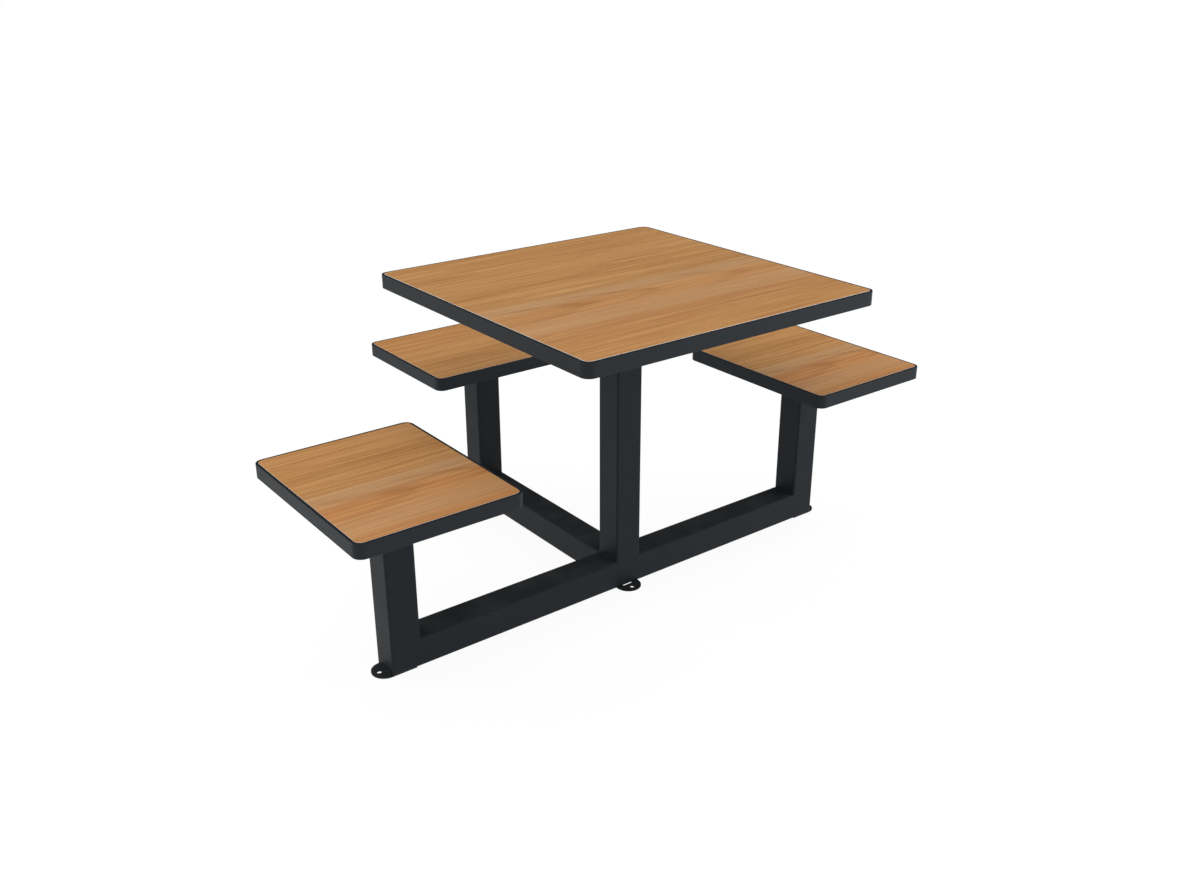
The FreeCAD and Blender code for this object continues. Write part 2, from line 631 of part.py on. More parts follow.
def make_spindle(seat):
    """Spindle welded in the seat plate, with the part groove that stops and holds it."""
    body = new_body(f"{seat.name}_spindle")
    add_revolution(body, rectangle("0", SPINDLE_RADIUS, SPINDLE_BASE, SEAT_BASE))
    doc.recompute()
    before = body.Shape.Volume

    sketch = new_sketch(body, "XZ_Plane")
    lower = f"({STOP_HEIGHT} - {STOP_HALF_WIDTH})"
    upper = f"({STOP_HEIGHT} + {STOP_HALF_WIDTH})"
    inner = f"-{STOP_FLOOR_RADIUS}"
    outer = f"-({SPINDLE_RADIUS} + Sizes.stop_play)"
    draw_polygon(sketch, rectangle(inner, outer, lower, upper))
    groove = body.newObject("PartDesign::Groove", f"{body.Label}_stop_groove")
    groove.Profile = sketch
    groove.ReferenceAxis = (sketch, ["V_Axis"])
    groove.Midplane = True
    groove.setExpression(
        "Angle",
        f"2 * (Sizes.swivel_limit * 1 deg + asin({STOP_HALF_WIDTH} / {STOP_FLOOR_RADIUS}))",
    )
    doc.recompute()
    if body.Shape.Volume >= before:
        raise RuntimeError(f"{body.Label}: the stop groove cuts nothing")

    hole = new_sketch(body, "YZ_Plane", f"({SPINDLE_RADIUS} - Sizes.tang_depth - Sizes.tang_play)")
    draw_circle(hole, "-Sizes.spring_wire / 2", SPRING_TOP, TANG_HOLE_RADIUS)
    add_pocket(body, hole, reverse=True)
    place_at_seat(body, seat)


def make_return_spring(seat):
    """Torsion spring round the spindle: one end in the bearing tube, the other in the spindle."""
    body = new_body(f"{seat.name}_return_spring")
    wire = new_sketch(body, "XZ_Plane")
    draw_circle(wire, SPRING_RADIUS, SPRING_BASE, "Sizes.spring_wire / 2")
    coil = body.newObject("PartDesign::AdditiveHelix", f"{body.Label}_coil")
    coil.Profile = wire
    coil.ReferenceAxis = (wire, ["V_Axis"])
    coil.Mode = "pitch-turns-angle"
    coil.setExpression("Pitch", "Sizes.spring_pitch * 1 mm")
    coil.setExpression("Turns", "Sizes.spring_turns")
    doc.recompute()
    to_housing = f"({HOUSING_RADIUS} - {SPRING_RADIUS})"
    to_spindle = f"({SPRING_RADIUS} - {SPINDLE_RADIUS} + Sizes.tang_depth)"
    for side, height, length, inwards in (
        ("Sizes.spring_wire / 2", SPRING_BASE, to_housing, False),
        ("-Sizes.spring_wire / 2", SPRING_TOP, to_spindle, True),
    ):
        tang = new_sketch(body, "YZ_Plane", SPRING_RADIUS)
        draw_circle(tang, side, height, "Sizes.tang_diameter / 2")
        add_pad(body, tang, length, reverse=inwards)
    place_at_seat(body, seat)


# ---------------------------------------------------------------- fasteners


def cut_key(body, plane, key, depth, reverse):
    """Cut a hexagon socket of the given width across flats along the body's Z axis."""
    sketch = new_sketch(body, "XY_Plane", plane)
    corner = f"({key} / 2 / cos(30 deg))"
    points = []
    for step in range(6):
        turn = f"({60 * step} deg)"
        points.append((f"({corner} * cos{turn})", f"({corner} * sin{turn})"))
    draw_polygon(sketch, points)
    add_pocket(body, sketch, depth, reverse=reverse)


def make_screw_pattern(label, plate_thickness):
    """M6 button-head screw that stands head down on z = 0, ready to be copied."""
    body = new_body(label)
    head = "(Sizes.screw_head_diameter / 2)"
    crown = "(Sizes.screw_head_crown / 2)"
    shank = "(Sizes.screw_diameter / 2)"
    seat = "Sizes.screw_head_height"
    shoulder = f"({seat} - Sizes.screw_head_rim)"
    tip = f"({seat} + {plate_thickness} + Sizes.screw_grip)"
    head_points = (("0", "0"), (crown, "0"), (head, shoulder), (head, seat))
    shank_points = ((shank, seat), (shank, tip), ("0", tip))
    add_revolution(body, head_points + shank_points)
    doc.recompute()
    cut_key(body, "0", "Sizes.screw_key", "Sizes.screw_key_depth", reverse=True)
    return body


def make_insert_pattern():
    """Threaded insert that stands on z = 0, ready to be copied."""
    body = new_body("insert_pattern")
    sketch = new_sketch(body, "XY_Plane")
    draw_circle(sketch, "0", "0", "Sizes.insert_diameter / 2")
    draw_circle(sketch, "0", "0", "Sizes.screw_diameter / 2")
    add_pad(body, sketch, "Sizes.insert_length")
    doc.recompute()
    return body


def make_stop_screw_pattern():
    """M8 stop screw along the Z axis: its socket on z = 0, its dog point upwards."""
    body = new_body("stop_screw_pattern")
    thread = "(Sizes.stop_screw_diameter / 2)"
    pin = "(Sizes.stop_pin_diameter / 2)"
    shoulder = f"({TUBE_HALF} - {SPINDLE_RADIUS} - Sizes.stop_play)"
    tip = f"({TUBE_HALF} - {STOP_FLOOR_RADIUS} - Sizes.stop_play)"
    points = (("0", "0"), (thread, "0"), (thread, shoulder), (pin, shoulder), (pin, tip), ("0", tip))
    add_revolution(body, points)
    doc.recompute()
    cut_key(body, "0", "Sizes.stop_screw_key", "Sizes.stop_screw_key_depth", reverse=True)
    return body


def add_copies(label, pattern, placements):
    """Make one node of separate solids by copying a pattern piece to several placements."""
    solids = []
    for placement in placements:
        solid = pattern.Shape.copy()
        solid.Placement = placement.multiply(solid.Placement)
        solids.append(solid)
    group = doc.addObject("Part::Feature", label)
    group.Label = label
    group.Shape = Part.makeCompound(solids)
    nodes.append(group)
    return group


def square_places(spacing, height, with_sides):
    """Placements at the corners of a square, and at the middles of its sides, at one height."""
    half = size(f"({spacing} / 2)")
    steps = [(-1, -1), (1, -1), (1, 1), (-1, 1)]
    if with_sides:
        steps += [(0, -1), (1, 0), (0, 1), (-1, 0)]
    level = size(height)
    centres = [FreeCAD.Vector(x * half, y * half, level) for x, y in steps]
    return [FreeCAD.Placement(centre, FreeCAD.Rotation()) for centre in centres]


def seat_placement(seat):
    """Placement that carries a piece from the common drawing position to its seat."""
    reach = size("Sizes.seat_reach")
    centre = FreeCAD.Vector(seat.along_x * reach, seat.along_y * reach, 0)
    return FreeCAD.Placement(centre, FreeCAD.Rotation(FreeCAD.Vector(0, 0, 1), seat.turn))


def make_board_fasteners():
    """M6 screws and threaded inserts under the table top and under each seat."""
    insert = make_insert_pattern()
    table_screw = make_screw_pattern("table_screw_pattern", "Sizes.table_plate_thickness")
    spacing = "Sizes.table_screw_spacing"
    heads = f"({TABLE_PLATE_BASE} - Sizes.screw_head_height)"
    add_copies("table_screws", table_screw, square_places(spacing, heads, True))
    add_copies("table_inserts", insert, square_places(spacing, TABLE_BASE, True))

    seat_screw = make_screw_pattern("seat_screw_pattern", "Sizes.seat_plate_thickness")
    spacing = "Sizes.seat_screw_spacing"
    heads = f"({SEAT_PLATE_BASE} - Sizes.screw_head_height)"
    for seat in SEATS:
        name = seat.name
        screws = add_copies(f"{name}_seat_screws", seat_screw, square_places(spacing, heads, False))
        inserts = add_copies(f"{name}_seat_inserts", insert, square_places(spacing, SEAT_BASE, False))
        screws.Placement = seat_placement(seat)
        inserts.Placement = seat_placement(seat)


def make_stop_screws():
    """Stop screws of the three posts, each set in the outer face of its post."""
    outer_face = FreeCAD.Vector(-size(TUBE_HALF), 0, size(STOP_HEIGHT))
    inwards = FreeCAD.Rotation(FreeCAD.Vector(0, 1, 0), 90)
    in_post = FreeCAD.Placement(outer_face, inwards)
    places = [seat_placement(seat).multiply(in_post) for seat in SEATS]
    add_copies("stop_screws", make_stop_screw_pattern(), places)


# ---------------------------------------------------------------- assembly

make_long_beam()
make_rear_beam()
make_central_post()
make_table_plate()
make_table_top()
for seat in SEATS:
    make_seat_post(seat)
    place_at_seat(make_anchor_plate(f"{seat.name}_anchor_plate", with_slot=False), seat)
    make_housing(seat)
    make_bush(seat, "upper", CAP_TOP, -1)
    make_bush(seat, "lower", HOUSING_BASE, 1)
    make_thrust_washer(seat)
    make_return_spring(seat)
    make_spindle(seat)
    make_seat_plate(seat)
    make_seat_panel(seat)
place(make_anchor_plate("front_anchor_plate", with_slot=True), turn=90)
doc.recompute()
make_board_fasteners()
make_stop_screws()
doc.recompute()

for item in doc.Objects:
    if "Invalid" in item.State or "Error" in item.State:
        raise RuntimeError(f"{item.Label} failed: {item.State}")
for node in nodes:
    if node.Shape.isNull() or not node.Shape.isValid():
        raise RuntimeError(f"{node.Label} has no valid shape")
    if node.isDerivedFrom("PartDesign::Body") and len(node.Shape.Solids) != 1:
        raise RuntimeError(f"{node.Label} is not one solid")

os.makedirs("parts", exist_ok=True)
for node in nodes:
    node.Shape.exportStep(f"parts/{node.Label}.step")
print(len(nodes), "pieces written")
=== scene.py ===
"""Finishes, weld beads, studio and camera of a square table with three attached swivel seats.

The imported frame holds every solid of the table. This script dresses each of them in its finish, lays the
weld beads of the steel frame, and sets up the floor, the lamps and the camera round it.
"""

import logging
import math
from dataclasses import dataclass
from enum import Enum

import bpy
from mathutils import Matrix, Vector


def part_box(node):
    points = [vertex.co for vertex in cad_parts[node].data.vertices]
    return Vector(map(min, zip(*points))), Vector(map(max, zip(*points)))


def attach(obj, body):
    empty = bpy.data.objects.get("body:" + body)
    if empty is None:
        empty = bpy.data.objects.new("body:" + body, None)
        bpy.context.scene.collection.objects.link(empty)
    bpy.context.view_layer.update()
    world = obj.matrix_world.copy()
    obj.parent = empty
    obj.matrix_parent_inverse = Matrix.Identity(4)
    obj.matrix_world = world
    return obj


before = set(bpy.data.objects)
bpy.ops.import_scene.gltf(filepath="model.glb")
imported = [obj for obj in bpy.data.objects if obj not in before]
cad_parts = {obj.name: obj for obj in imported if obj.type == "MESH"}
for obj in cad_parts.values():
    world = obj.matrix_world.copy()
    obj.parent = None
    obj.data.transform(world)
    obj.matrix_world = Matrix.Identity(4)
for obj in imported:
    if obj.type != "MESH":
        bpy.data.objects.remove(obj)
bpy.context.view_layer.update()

log = logging.getLogger("table")

Colour = tuple[float, float, float]
Place = tuple[float, float, float]
MM = 0.001


def paint(red: int, green: int, blue: int) -> Colour:
    """Turns a colour as a paint chart gives it into the linear values that a shader takes.

    Args:
        red: Red from 0 to 255, as displayed.
        green: Green from 0 to 255, as displayed.
        blue: Blue from 0 to 255, as displayed.

    Returns:
        The linear red, green and blue.
    """
    shares = (value / 255 for value in (red, green, blue))
    return tuple(s / 12.92 if s <= 0.04045 else ((s + 0.055) / 1.055) ** 2.4 for s in shares)


# ---------------------------------------------------------------------------------------------------
# Node sheets: short calls for drawing materials and effect groups
# ---------------------------------------------------------------------------------------------------


class Sheet:
    """One node tree, with short calls that add a node, set its sockets and give back its output."""

    def __init__(self, tree: bpy.types.NodeTree) -> None:
        """Takes the tree to draw in."""
        self.tree = tree

    def feed(self, socket: bpy.types.NodeSocket, value: object) -> None:
        """Joins a socket to another one, or sets it to a plain value.

        Args:
            socket: The input socket.
            value: An output socket, a number or a tuple; three numbers become an opaque colour.
        """
        if isinstance(value, bpy.types.NodeSocket):
            self.tree.links.new(value, socket)
        elif socket.type == "RGBA" and len(value) == 3:
            socket.default_value = (*value, 1.0)
        else:
            socket.default_value = value

    def add(self, kind: str, sockets: dict | None = None, **settings: object) -> bpy.types.Node:
        """Adds a node.

        Args:
            kind: The node's type without its ShaderNode prefix.
            sockets: What its inputs take, by their names.
            settings: The node's own properties.

        Returns:
            The new node.
        """
        node = self.tree.nodes.new("ShaderNode" + kind)
        for name, value in settings.items():
            setattr(node, name, value)
        for name, value in (sockets or {}).items():
            self.feed(node.inputs[name], value)
        return node

    def math(self, operation: str, *values: object, clamp: bool = False) -> bpy.types.NodeSocket:
        """Adds a Math node.

        Args:
            operation: What the node works out.
            values: Its inputs in order.
            clamp: Whether the result stays from 0 to 1.

        Returns:
            Its result.
        """
        node = self.add("Math", operation=operation, use_clamp=clamp)
        for socket, value in zip(node.inputs, values):
            self.feed(socket, value)
        return node.outputs[0]

    def vector(self, operation: str, *values: object) -> bpy.types.NodeSocket:
        """Adds a Vector Math node.

        Args:
            operation: What the node works out.
            values: Its inputs in order; for SCALE, the vector and the factor.

        Returns:
            Its result, a number for DOT_PRODUCT and a vector otherwise.
        """
        node = self.add("VectorMath", operation=operation)
        sockets = (node.inputs[0], node.inputs["Scale"]) if operation == "SCALE" else node.inputs
        for socket, value in zip(sockets, values):
            self.feed(socket, value)
        return node.outputs["Value" if operation == "DOT_PRODUCT" else "Vector"]

    def span(self, value: object, low: object, high: object,
             to_low: object = 0.0, to_high: object = 1.0) -> bpy.types.NodeSocket:
        """Maps a range smoothly onto another one and holds its ends.

        Args:
            value: What is mapped.
            low: Where the range starts.
            high: Where the range ends.
            to_low: The result at its start.
            to_high: The result at its end.

        Returns:
            The mapped value.
        """
        sockets = {"Value": value, "From Min": low, "From Max": high, "To Min": to_low, "To Max": to_high}
        return self.add("MapRange", sockets, interpolation_type="SMOOTHSTEP").outputs["Result"]

    def noise(self, place: object, cell: tuple[float, float, float], detail: float = 2.0,
              shift: Place = (0.0, 0.0, 0.0)) -> bpy.types.NodeSocket:
        """Adds a noise whose cells have their own length along each axis.

        Args:
            place: The coordinates, in millimetres.
            cell: How long a cell is along X, Y and Z, in millimetres.
            detail: How many finer layers the noise has.
            shift: Where the noise starts, in cells.

        Returns:
            The noise, from 0 to 1 about 0.5.
        """
        scale = tuple(1 / length for length in cell)
        mapped = self.add("Mapping", {"Vector": place, "Location": shift, "Scale": scale})
        sockets = {"Vector": mapped.outputs["Vector"], "Scale": 1.0, "Detail": detail}
        return self.add("TexNoise", sockets).outputs["Fac"]

    def even_noise(self, place: object, cell: float, detail: float = 2.0,
                   shift: Place = (0.0, 0.0, 0.0)) -> bpy.types.NodeSocket:
        """Adds a noise whose cells are equally long along all three axes; see noise."""
        return self.noise(place, (cell, cell, cell), detail, shift)

    def cells(self, place: object, width: object) -> bpy.types.NodeSocket:
        """Counts a place in millimetres in cells of a width in millimetres."""
        return self.vector("SCALE", place, self.math("DIVIDE", 1.0, width))

    def mix(self, share: object, first: object, second: object) -> bpy.types.NodeSocket:
        """Mixes two colours.

        Args:
            share: The second colour's share.
            first: The first colour.
            second: The second colour.

        Returns:
            The mixed colour.
        """
        node = self.add("Mix", data_type="RGBA")
        for index, value in ((0, share), (6, first), (7, second)):
            self.feed(node.inputs[index], value)
        return node.outputs[2]

    def lay_over(self, below: object, above: object, mask: object, share: float) -> bpy.types.NodeSocket:
        """Lays a colour over another one where a mask shows, up to a share of it."""
        return self.mix(self.math("MULTIPLY", mask, share), below, above)

    def weigh(self, first: object, second: object, share: float) -> bpy.types.NodeSocket:
        """Adds up two numbers, the second with this share and the first with the rest."""
        parts = [self.math("MULTIPLY", first, 1 - share), self.math("MULTIPLY", second, share)]
        return self.math("ADD", *parts)

    def ramp(self, value: object, stops: list[tuple[float, Colour]],
             interpolation: str = "EASE") -> bpy.types.NodeSocket:
        """Adds a colour ramp.

        Args:
            value: Where on the ramp the colour is read.
            stops: Each stop's position from 0 to 1 and colour, in order.
            interpolation: How the ramp runs from stop to stop.

        Returns:
            The colour.
        """
        node = self.add("ValToRGB", {"Fac": value})
        node.color_ramp.interpolation = interpolation
        elements = node.color_ramp.elements
        elements[1].position, elements[1].color = stops[-1][0], (*stops[-1][1], 1.0)
        elements[0].position, elements[0].color = stops[0][0], (*stops[0][1], 1.0)
        for position, colour in stops[1:-1]:
            elements.new(position).color = (*colour, 1.0)
        return node.outputs["Color"]

    def bump(self, height: object, depth: float, strength: float = 1.0) -> bpy.types.NodeSocket:
        """Turns a height into a bumped normal.

        Args:
            height: The height, from 0 to 1.
            depth: How deep a height of 1 is, in millimetres.
            strength: The bump's share.

        Returns:
            The bumped normal.
        """
        sockets = {"Height": height, "Distance": depth * MM, "Strength": strength}
        return self.add("Bump", sockets).outputs["Normal"]

    def millimetres(self) -> bpy.types.NodeSocket:
        """Gives the piece's own Object coordinates in millimetres."""
        return self.vector("SCALE", self.add("TexCoord").outputs["Object"], 1 / MM)


# ---------------------------------------------------------------------------------------------------
# Effects that several finishes share, each one a shader node group
# ---------------------------------------------------------------------------------------------------


class Effect:
    """A shader node group that is built once and placed in each finish with its own values."""

    title = "effect"
    takes: dict[str, tuple[str, object]] = {}
    gives: tuple[str, ...] = ()

    def draw(self, sheet: Sheet, given: dict, out: dict) -> None:
        """Draws the group's nodes.

        Args:
            sheet: The group's own sheet.
            given: The group's inputs by name.
            out: The sockets that the results go into, by name.
        """
        raise NotImplementedError

    def group(self) -> bpy.types.NodeTree:
        """Gives the node group, and draws it the first time.

        Returns:
            The node group.
        """
        found = bpy.data.node_groups.get(self.title)
        if found:
            return found
        tree = bpy.data.node_groups.new(self.title, "ShaderNodeTree")
        for name, (kind, value) in self.takes.items():
            socket = tree.interface.new_socket(name, in_out="INPUT", socket_type="NodeSocket" + kind)
            if kind == "Float":
                socket.default_value = value
        for name in self.gives:
            tree.interface.new_socket(name, in_out="OUTPUT", socket_type="NodeSocketFloat")
        given = tree.nodes.new("NodeGroupInput").outputs
        out = tree.nodes.new("NodeGroupOutput").inputs
        self.draw(Sheet(tree), given, out)
        return tree

    def on(self, sheet: Sheet, **values: object) -> dict:
        """Places the group in a material.

        Args:
            sheet: The material's sheet.
            values: What the inputs take, by their names in lower case with underscores.

        Returns:
            The group's outputs by name.
        """
        node = sheet.tree.nodes.new("ShaderNodeGroup")
        node.node_tree = self.group()
        for name in self.takes:
            key = name.lower().replace(" ", "_")
            if key in values:
                sheet.feed(node.inputs[name], values[key])
        return node.outputs


class SurfaceTexture(Effect):
    """The fine relief of a sprayed, moulded or rolled surface, and the unevenness of its gloss.

    Attributes:
        speck: How wide a speck is, as a share of a bump.
        speck_relief: The specks' share of the relief.
        speck_gloss: The specks' share of the gloss.
        patch: How wide a patch of even gloss is, in millimetres.
        cloud: How wide a cloud is, in millimetres.
    """

    title = "surface_texture"
    takes = {"Place": ("Vector", None), "Cell": ("Float", 1.0)}
    gives = ("Height", "Gloss", "Cloud")

    speck = 0.32
    speck_relief = 0.25
    speck_gloss = 0.4
    patch = 55.0
    cloud = 140.0

    def draw(self, sheet: Sheet, given: dict, out: dict) -> None:
        """Draws a rounded relief, its gloss and broad clouds; see Effect.draw."""
        cells = sheet.cells(given["Place"], given["Cell"])
        bumps = sheet.even_noise(cells, 1.0, detail=1.0)
        specks = sheet.even_noise(cells, self.speck, detail=1.0, shift=(7.0, 3.0, 1.0))
        height = sheet.weigh(bumps, specks, self.speck_relief)
        patches = sheet.even_noise(given["Place"], self.patch, detail=3.0)
        gloss = sheet.weigh(patches, specks, self.speck_gloss)
        sheet.feed(out["Height"], height)
        sheet.feed(out["Gloss"], gloss)
        sheet.feed(out["Cloud"], sheet.even_noise(given["Place"], self.cloud))


class EdgeWear(Effect):
    """Where handling has polished or thinned a finish along its outer edges.

    Attributes:
        turn: How far an edge turns where wear starts and where it is full, as 1 minus the cosine.
        broken: The noise's values at which wear is broken off and at which it is whole.
    """

    title = "edge_wear"
    takes = {"Place": ("Vector", None), "Reach": ("Float", 1.5), "Patch": ("Float", 18.0)}
    gives = ("Mask",)

    turn = (0.015, 0.16)
    broken = (0.38, 0.66)

    def draw(self, sheet: Sheet, given: dict, out: dict) -> None:
        """Compares the surface's normal with a rounded one and breaks the result up; see Effect.draw."""
        reach = sheet.math("MULTIPLY", given["Reach"], MM)
        rounded = sheet.add("Bevel", {"Radius": reach}, samples=4).outputs["Normal"]
        turned = sheet.vector("DOT_PRODUCT", rounded, sheet.add("NewGeometry").outputs["Normal"])
        edge = sheet.span(sheet.math("SUBTRACT", 1.0, turned), *self.turn)
        cells = sheet.cells(given["Place"], given["Patch"])
        broken = sheet.span(sheet.even_noise(cells, 1.0, detail=4.0), *self.broken)
        sheet.feed(out["Mask"], sheet.math("MULTIPLY", edge, broken))


class Dust(Effect):
    """Light dust that settles on what faces up, thicker in patches.

    Attributes:
        facing: How far up a face looks where dust starts and where it is full, as its normal's Z.
        thick: The patches' noise from low to high, and how much dust lies at each.
        grainy: The specks' noise from low to high, and how much dust lies at each.
        speck: How wide a speck is, in millimetres.
    """

    title = "dust"
    takes = {"Place": ("Vector", None), "Patch": ("Float", 60.0)}
    gives = ("Mask",)

    facing = (0.55, 0.98)
    thick = (0.35, 0.75, 0.35, 1.0)
    grainy = (0.52, 0.72, 0.6, 1.0)
    speck = 1.6

    def draw(self, sheet: Sheet, given: dict, out: dict) -> None:
        """Finds what faces up and breaks it into patches and specks; see Effect.draw."""
        normal = sheet.add("NewGeometry").outputs["Normal"]
        up = sheet.span(sheet.add("SeparateXYZ", {"Vector": normal}).outputs["Z"], *self.facing)
        cells = sheet.cells(given["Place"], given["Patch"])
        patches = sheet.span(sheet.even_noise(cells, 1.0, detail=4.0), *self.thick)
        specks = sheet.span(sheet.even_noise(given["Place"], self.speck, detail=1.0), *self.grainy)
        sheet.feed(out["Mask"], sheet.math("MULTIPLY", up, sheet.math("MULTIPLY", patches, specks)))


class ToolMarks(Effect):
    """Fine parallel marks that turning, grinding or rolling leaves in metal.

    Attributes:
        coarse: How long a coarse mark is along X, Y and Z, in millimetres.
        fine: How long a fine mark is along X, Y and Z, in millimetres.
        blotch: How wide a stain is, in millimetres.
    """

    title = "tool_marks"
    takes = {"Place": ("Vector", None)}
    gives = ("Marks", "Stain")

    coarse = (60.0, 60.0, 0.5)
    fine = (25.0, 25.0, 0.13)
    blotch = 9.0

    def draw(self, sheet: Sheet, given: dict, out: dict) -> None:
        """Draws rings along Z at two pitches and a soft stain; see Effect.draw."""
        coarse = sheet.noise(given["Place"], self.coarse)
        fine = sheet.noise(given["Place"], self.fine, shift=(3.0, 1.0, 0.0))
        sheet.feed(out["Marks"], sheet.math("MULTIPLY", sheet.math("ADD", coarse, fine), 0.5))
        sheet.feed(out["Stain"], sheet.even_noise(given["Place"], self.blotch, detail=4.0))


@dataclass(frozen=True)
class Band:
    """One soft band of the wood print, which runs the length of the sheet.

    Attributes:
        across: Where its middle lies across the sheet, in millimetres.
        tone: How light it is, from 0 dark to 1 light.
        grey: How grey it is, where 0 is not at all.
        rose: How rosy it is, where 0 is not at all.
    """

    across: float
    tone: float
    grey: float
    rose: float


@dataclass(frozen=True)
class Heart:
    """A row of pointed arches in the wood print, where the saw ran along the middle of the log.

    Attributes:
        across: Where the arches' points lie across the sheet, in millimetres.
        opening: Half of how wide the arches are at the sheet's left end, in millimetres.
        taper: How much an arch's radius grows per millimetre along the sheet.
        points: Where each arch's point lies along the sheet, in millimetres, with its line's width
            and darkness.
    """

    across: float
    opening: float
    taper: float
    points: tuple[tuple[float, float, float], ...]


class WoodPrint(Effect):
    """The printed wood of the decor laminate: soft bands, two hearts with arches, fibres and pores.

    Attributes:
        half_sheet: How far the bands reach from the sheet's middle, in millimetres.
        sharpness: How pointed the arches are; 2 draws them round.
        arm: How far an arch's arms run back from its point before they fade, in millimetres.
        faint: How dark the lower arms are, as a share of the upper ones.
        fade: Where the arms turn from lower to upper, across from the points, in millimetres.
        wander: How far the slow and the quick waves carry the grain, in millimetres.
        grain: How strongly the streaks, the threads and the fibres lighten or darken the tone.
        pore_depth: How much a pore darkens the tone.
        pored: The noise's values at which a pore starts and at which it is full.
        fading: The noise from low to high that fades the arches, and how much is left at its low end.
        hearts: The rows of arches.
        bands: The soft bands, from the sheet's lower edge to its upper one.
    """

    title = "wood_print"
    takes = {"Place": ("Vector", None)}
    gives = ("Tone", "Lines", "Grey", "Rose", "Fibre", "Pores")

    half_sheet = 400.0
    sharpness = 1.3
    arm = 300.0
    faint = 0.45
    fade = (-30.0, 5.0)
    wander = (16.0, 9.0)
    grain = (1.3, 2.4, 1.4)
    pore_depth = 0.15
    pored = (0.63, 0.75)
    fading = (0.3, 0.62, 0.35)
    hearts = (
        Heart(-92.0, 25.0, 0.20, ((-163.0, 14.0, 1.0), (15.0, 8.0, 0.9), (278.0, 13.0, 0.7))),
        Heart(137.0, 16.0, 0.13, ((-290.0, 5.0, 0.5), (65.0, 5.0, 0.5))),
    )
    bands = (
        Band(-340.0, 0.56, 0.1, 0.7), Band(-230.0, 0.40, 0.2, 0.8), Band(-180.0, 0.66, 0.9, 0.6),
        Band(-95.0, 0.55, 0.1, 1.0), Band(-30.0, 0.58, 1.2, 0.2), Band(5.0, 0.42, 0.2, 0.3),
        Band(40.0, 0.60, 0.2, 0.4), Band(80.0, 0.42, 0.1, 0.3), Band(190.0, 0.58, 0.2, 0.6),
        Band(290.0, 0.44, 0.1, 0.5),
    )

    def arches(self, sheet: Sheet, heart: Heart, along: object, across: object) -> bpy.types.NodeSocket:
        """Draws one heart's arches.

        Args:
            sheet: The group's sheet.
            heart: The heart.
            along: The place along the sheet, in millimetres.
            across: The place across the sheet, in millimetres.

        Returns:
            How dark the arches' lines are, from 0 to 1.
        """
        grown = sheet.math("ADD", along, self.half_sheet)
        depth = sheet.math("MULTIPLY_ADD", grown, heart.taper, heart.opening)
        aside = sheet.math("ABSOLUTE", sheet.math("SUBTRACT", across, heart.across))
        powers = [sheet.math("POWER", part, self.sharpness) for part in (aside, depth)]
        radius = sheet.math("POWER", sheet.math("ADD", *powers), 1 / self.sharpness)
        lines = 0.0
        for point, width, darkness in heart.points:
            ring = heart.opening + heart.taper * (point + self.half_sheet)
            off = sheet.math("ABSOLUTE", sheet.math("SUBTRACT", radius, ring))
            line = sheet.span(off, 0.0, width, darkness, 0.0)
            faded = sheet.span(along, point - self.arm, point, 0.0, 1.0)
            lines = sheet.math("MAXIMUM", lines, sheet.math("MULTIPLY", line, faded))
        beyond = sheet.math("SUBTRACT", across, heart.across)
        return sheet.math("MULTIPLY", lines, sheet.span(beyond, *self.fade, self.faint, 1.0))

    def draw(self, sheet: Sheet, given: dict, out: dict) -> None:
        """Draws the print on coordinates that wander a little across the sheet; see Effect.draw."""
        place = given["Place"]
        flat = sheet.add("SeparateXYZ", {"Vector": place}).outputs
        slow = sheet.math("SUBTRACT", sheet.noise(place, (520.0, 170.0, 900.0), 1.0), 0.5)
        quick = sheet.math("SUBTRACT", sheet.noise(place, (170.0, 60.0, 900.0), 2.0, (5.0, 2.0, 0.0)), 0.5)
        waves = [sheet.math("MULTIPLY", wave, reach) for wave, reach in zip((slow, quick), self.wander)]
        across = sheet.math("ADD", flat["Y"], sheet.math("ADD", *waves))

        position = sheet.math("MULTIPLY_ADD", across, 0.5 / self.half_sheet, 0.5)
        stops = [(0.5 + 0.5 * b.across / self.half_sheet, (b.tone, b.grey, b.rose)) for b in self.bands]
        print_bands = sheet.add("SeparateColor", {"Color": sheet.ramp(position, stops)}).outputs

        streaks = sheet.noise(place, (480.0, 6.0, 900.0), 2.0, (0.0, 9.0, 0.0))
        threads = sheet.noise(place, (240.0, 2.6, 900.0), 1.0, (2.0, 4.0, 0.0))
        fibre = sheet.noise(place, (26.0, 0.45, 900.0), 2.0, (4.0, 1.0, 0.0))
        pores = sheet.span(sheet.noise(place, (11.0, 0.32, 900.0), 1.0, (8.0, 5.0, 0.0)), *self.pored)
        fading = sheet.span(sheet.noise(place, (120.0, 40.0, 900.0), 1.0, (1.0, 6.0, 0.0)), *self.fading)

        lines = [sheet.math("MULTIPLY", self.arches(sheet, heart, flat["X"], across), fading)
                 for heart in self.hearts]
        tone = print_bands["Red"]
        for share, part in zip(self.grain, (streaks, threads, fibre)):
            tone = sheet.math("MULTIPLY_ADD", sheet.math("SUBTRACT", part, 0.5), share, tone)
        sheet.feed(out["Tone"], sheet.math("MULTIPLY_ADD", pores, -self.pore_depth, tone, clamp=True))
        sheet.feed(out["Lines"], sheet.math("MAXIMUM", *lines))
        sheet.feed(out["Grey"], print_bands["Green"])
        sheet.feed(out["Rose"], print_bands["Blue"])
        sheet.feed(out["Fibre"], fibre)
        sheet.feed(out["Pores"], pores)


# ---------------------------------------------------------------------------------------------------
# Finishes
# ---------------------------------------------------------------------------------------------------


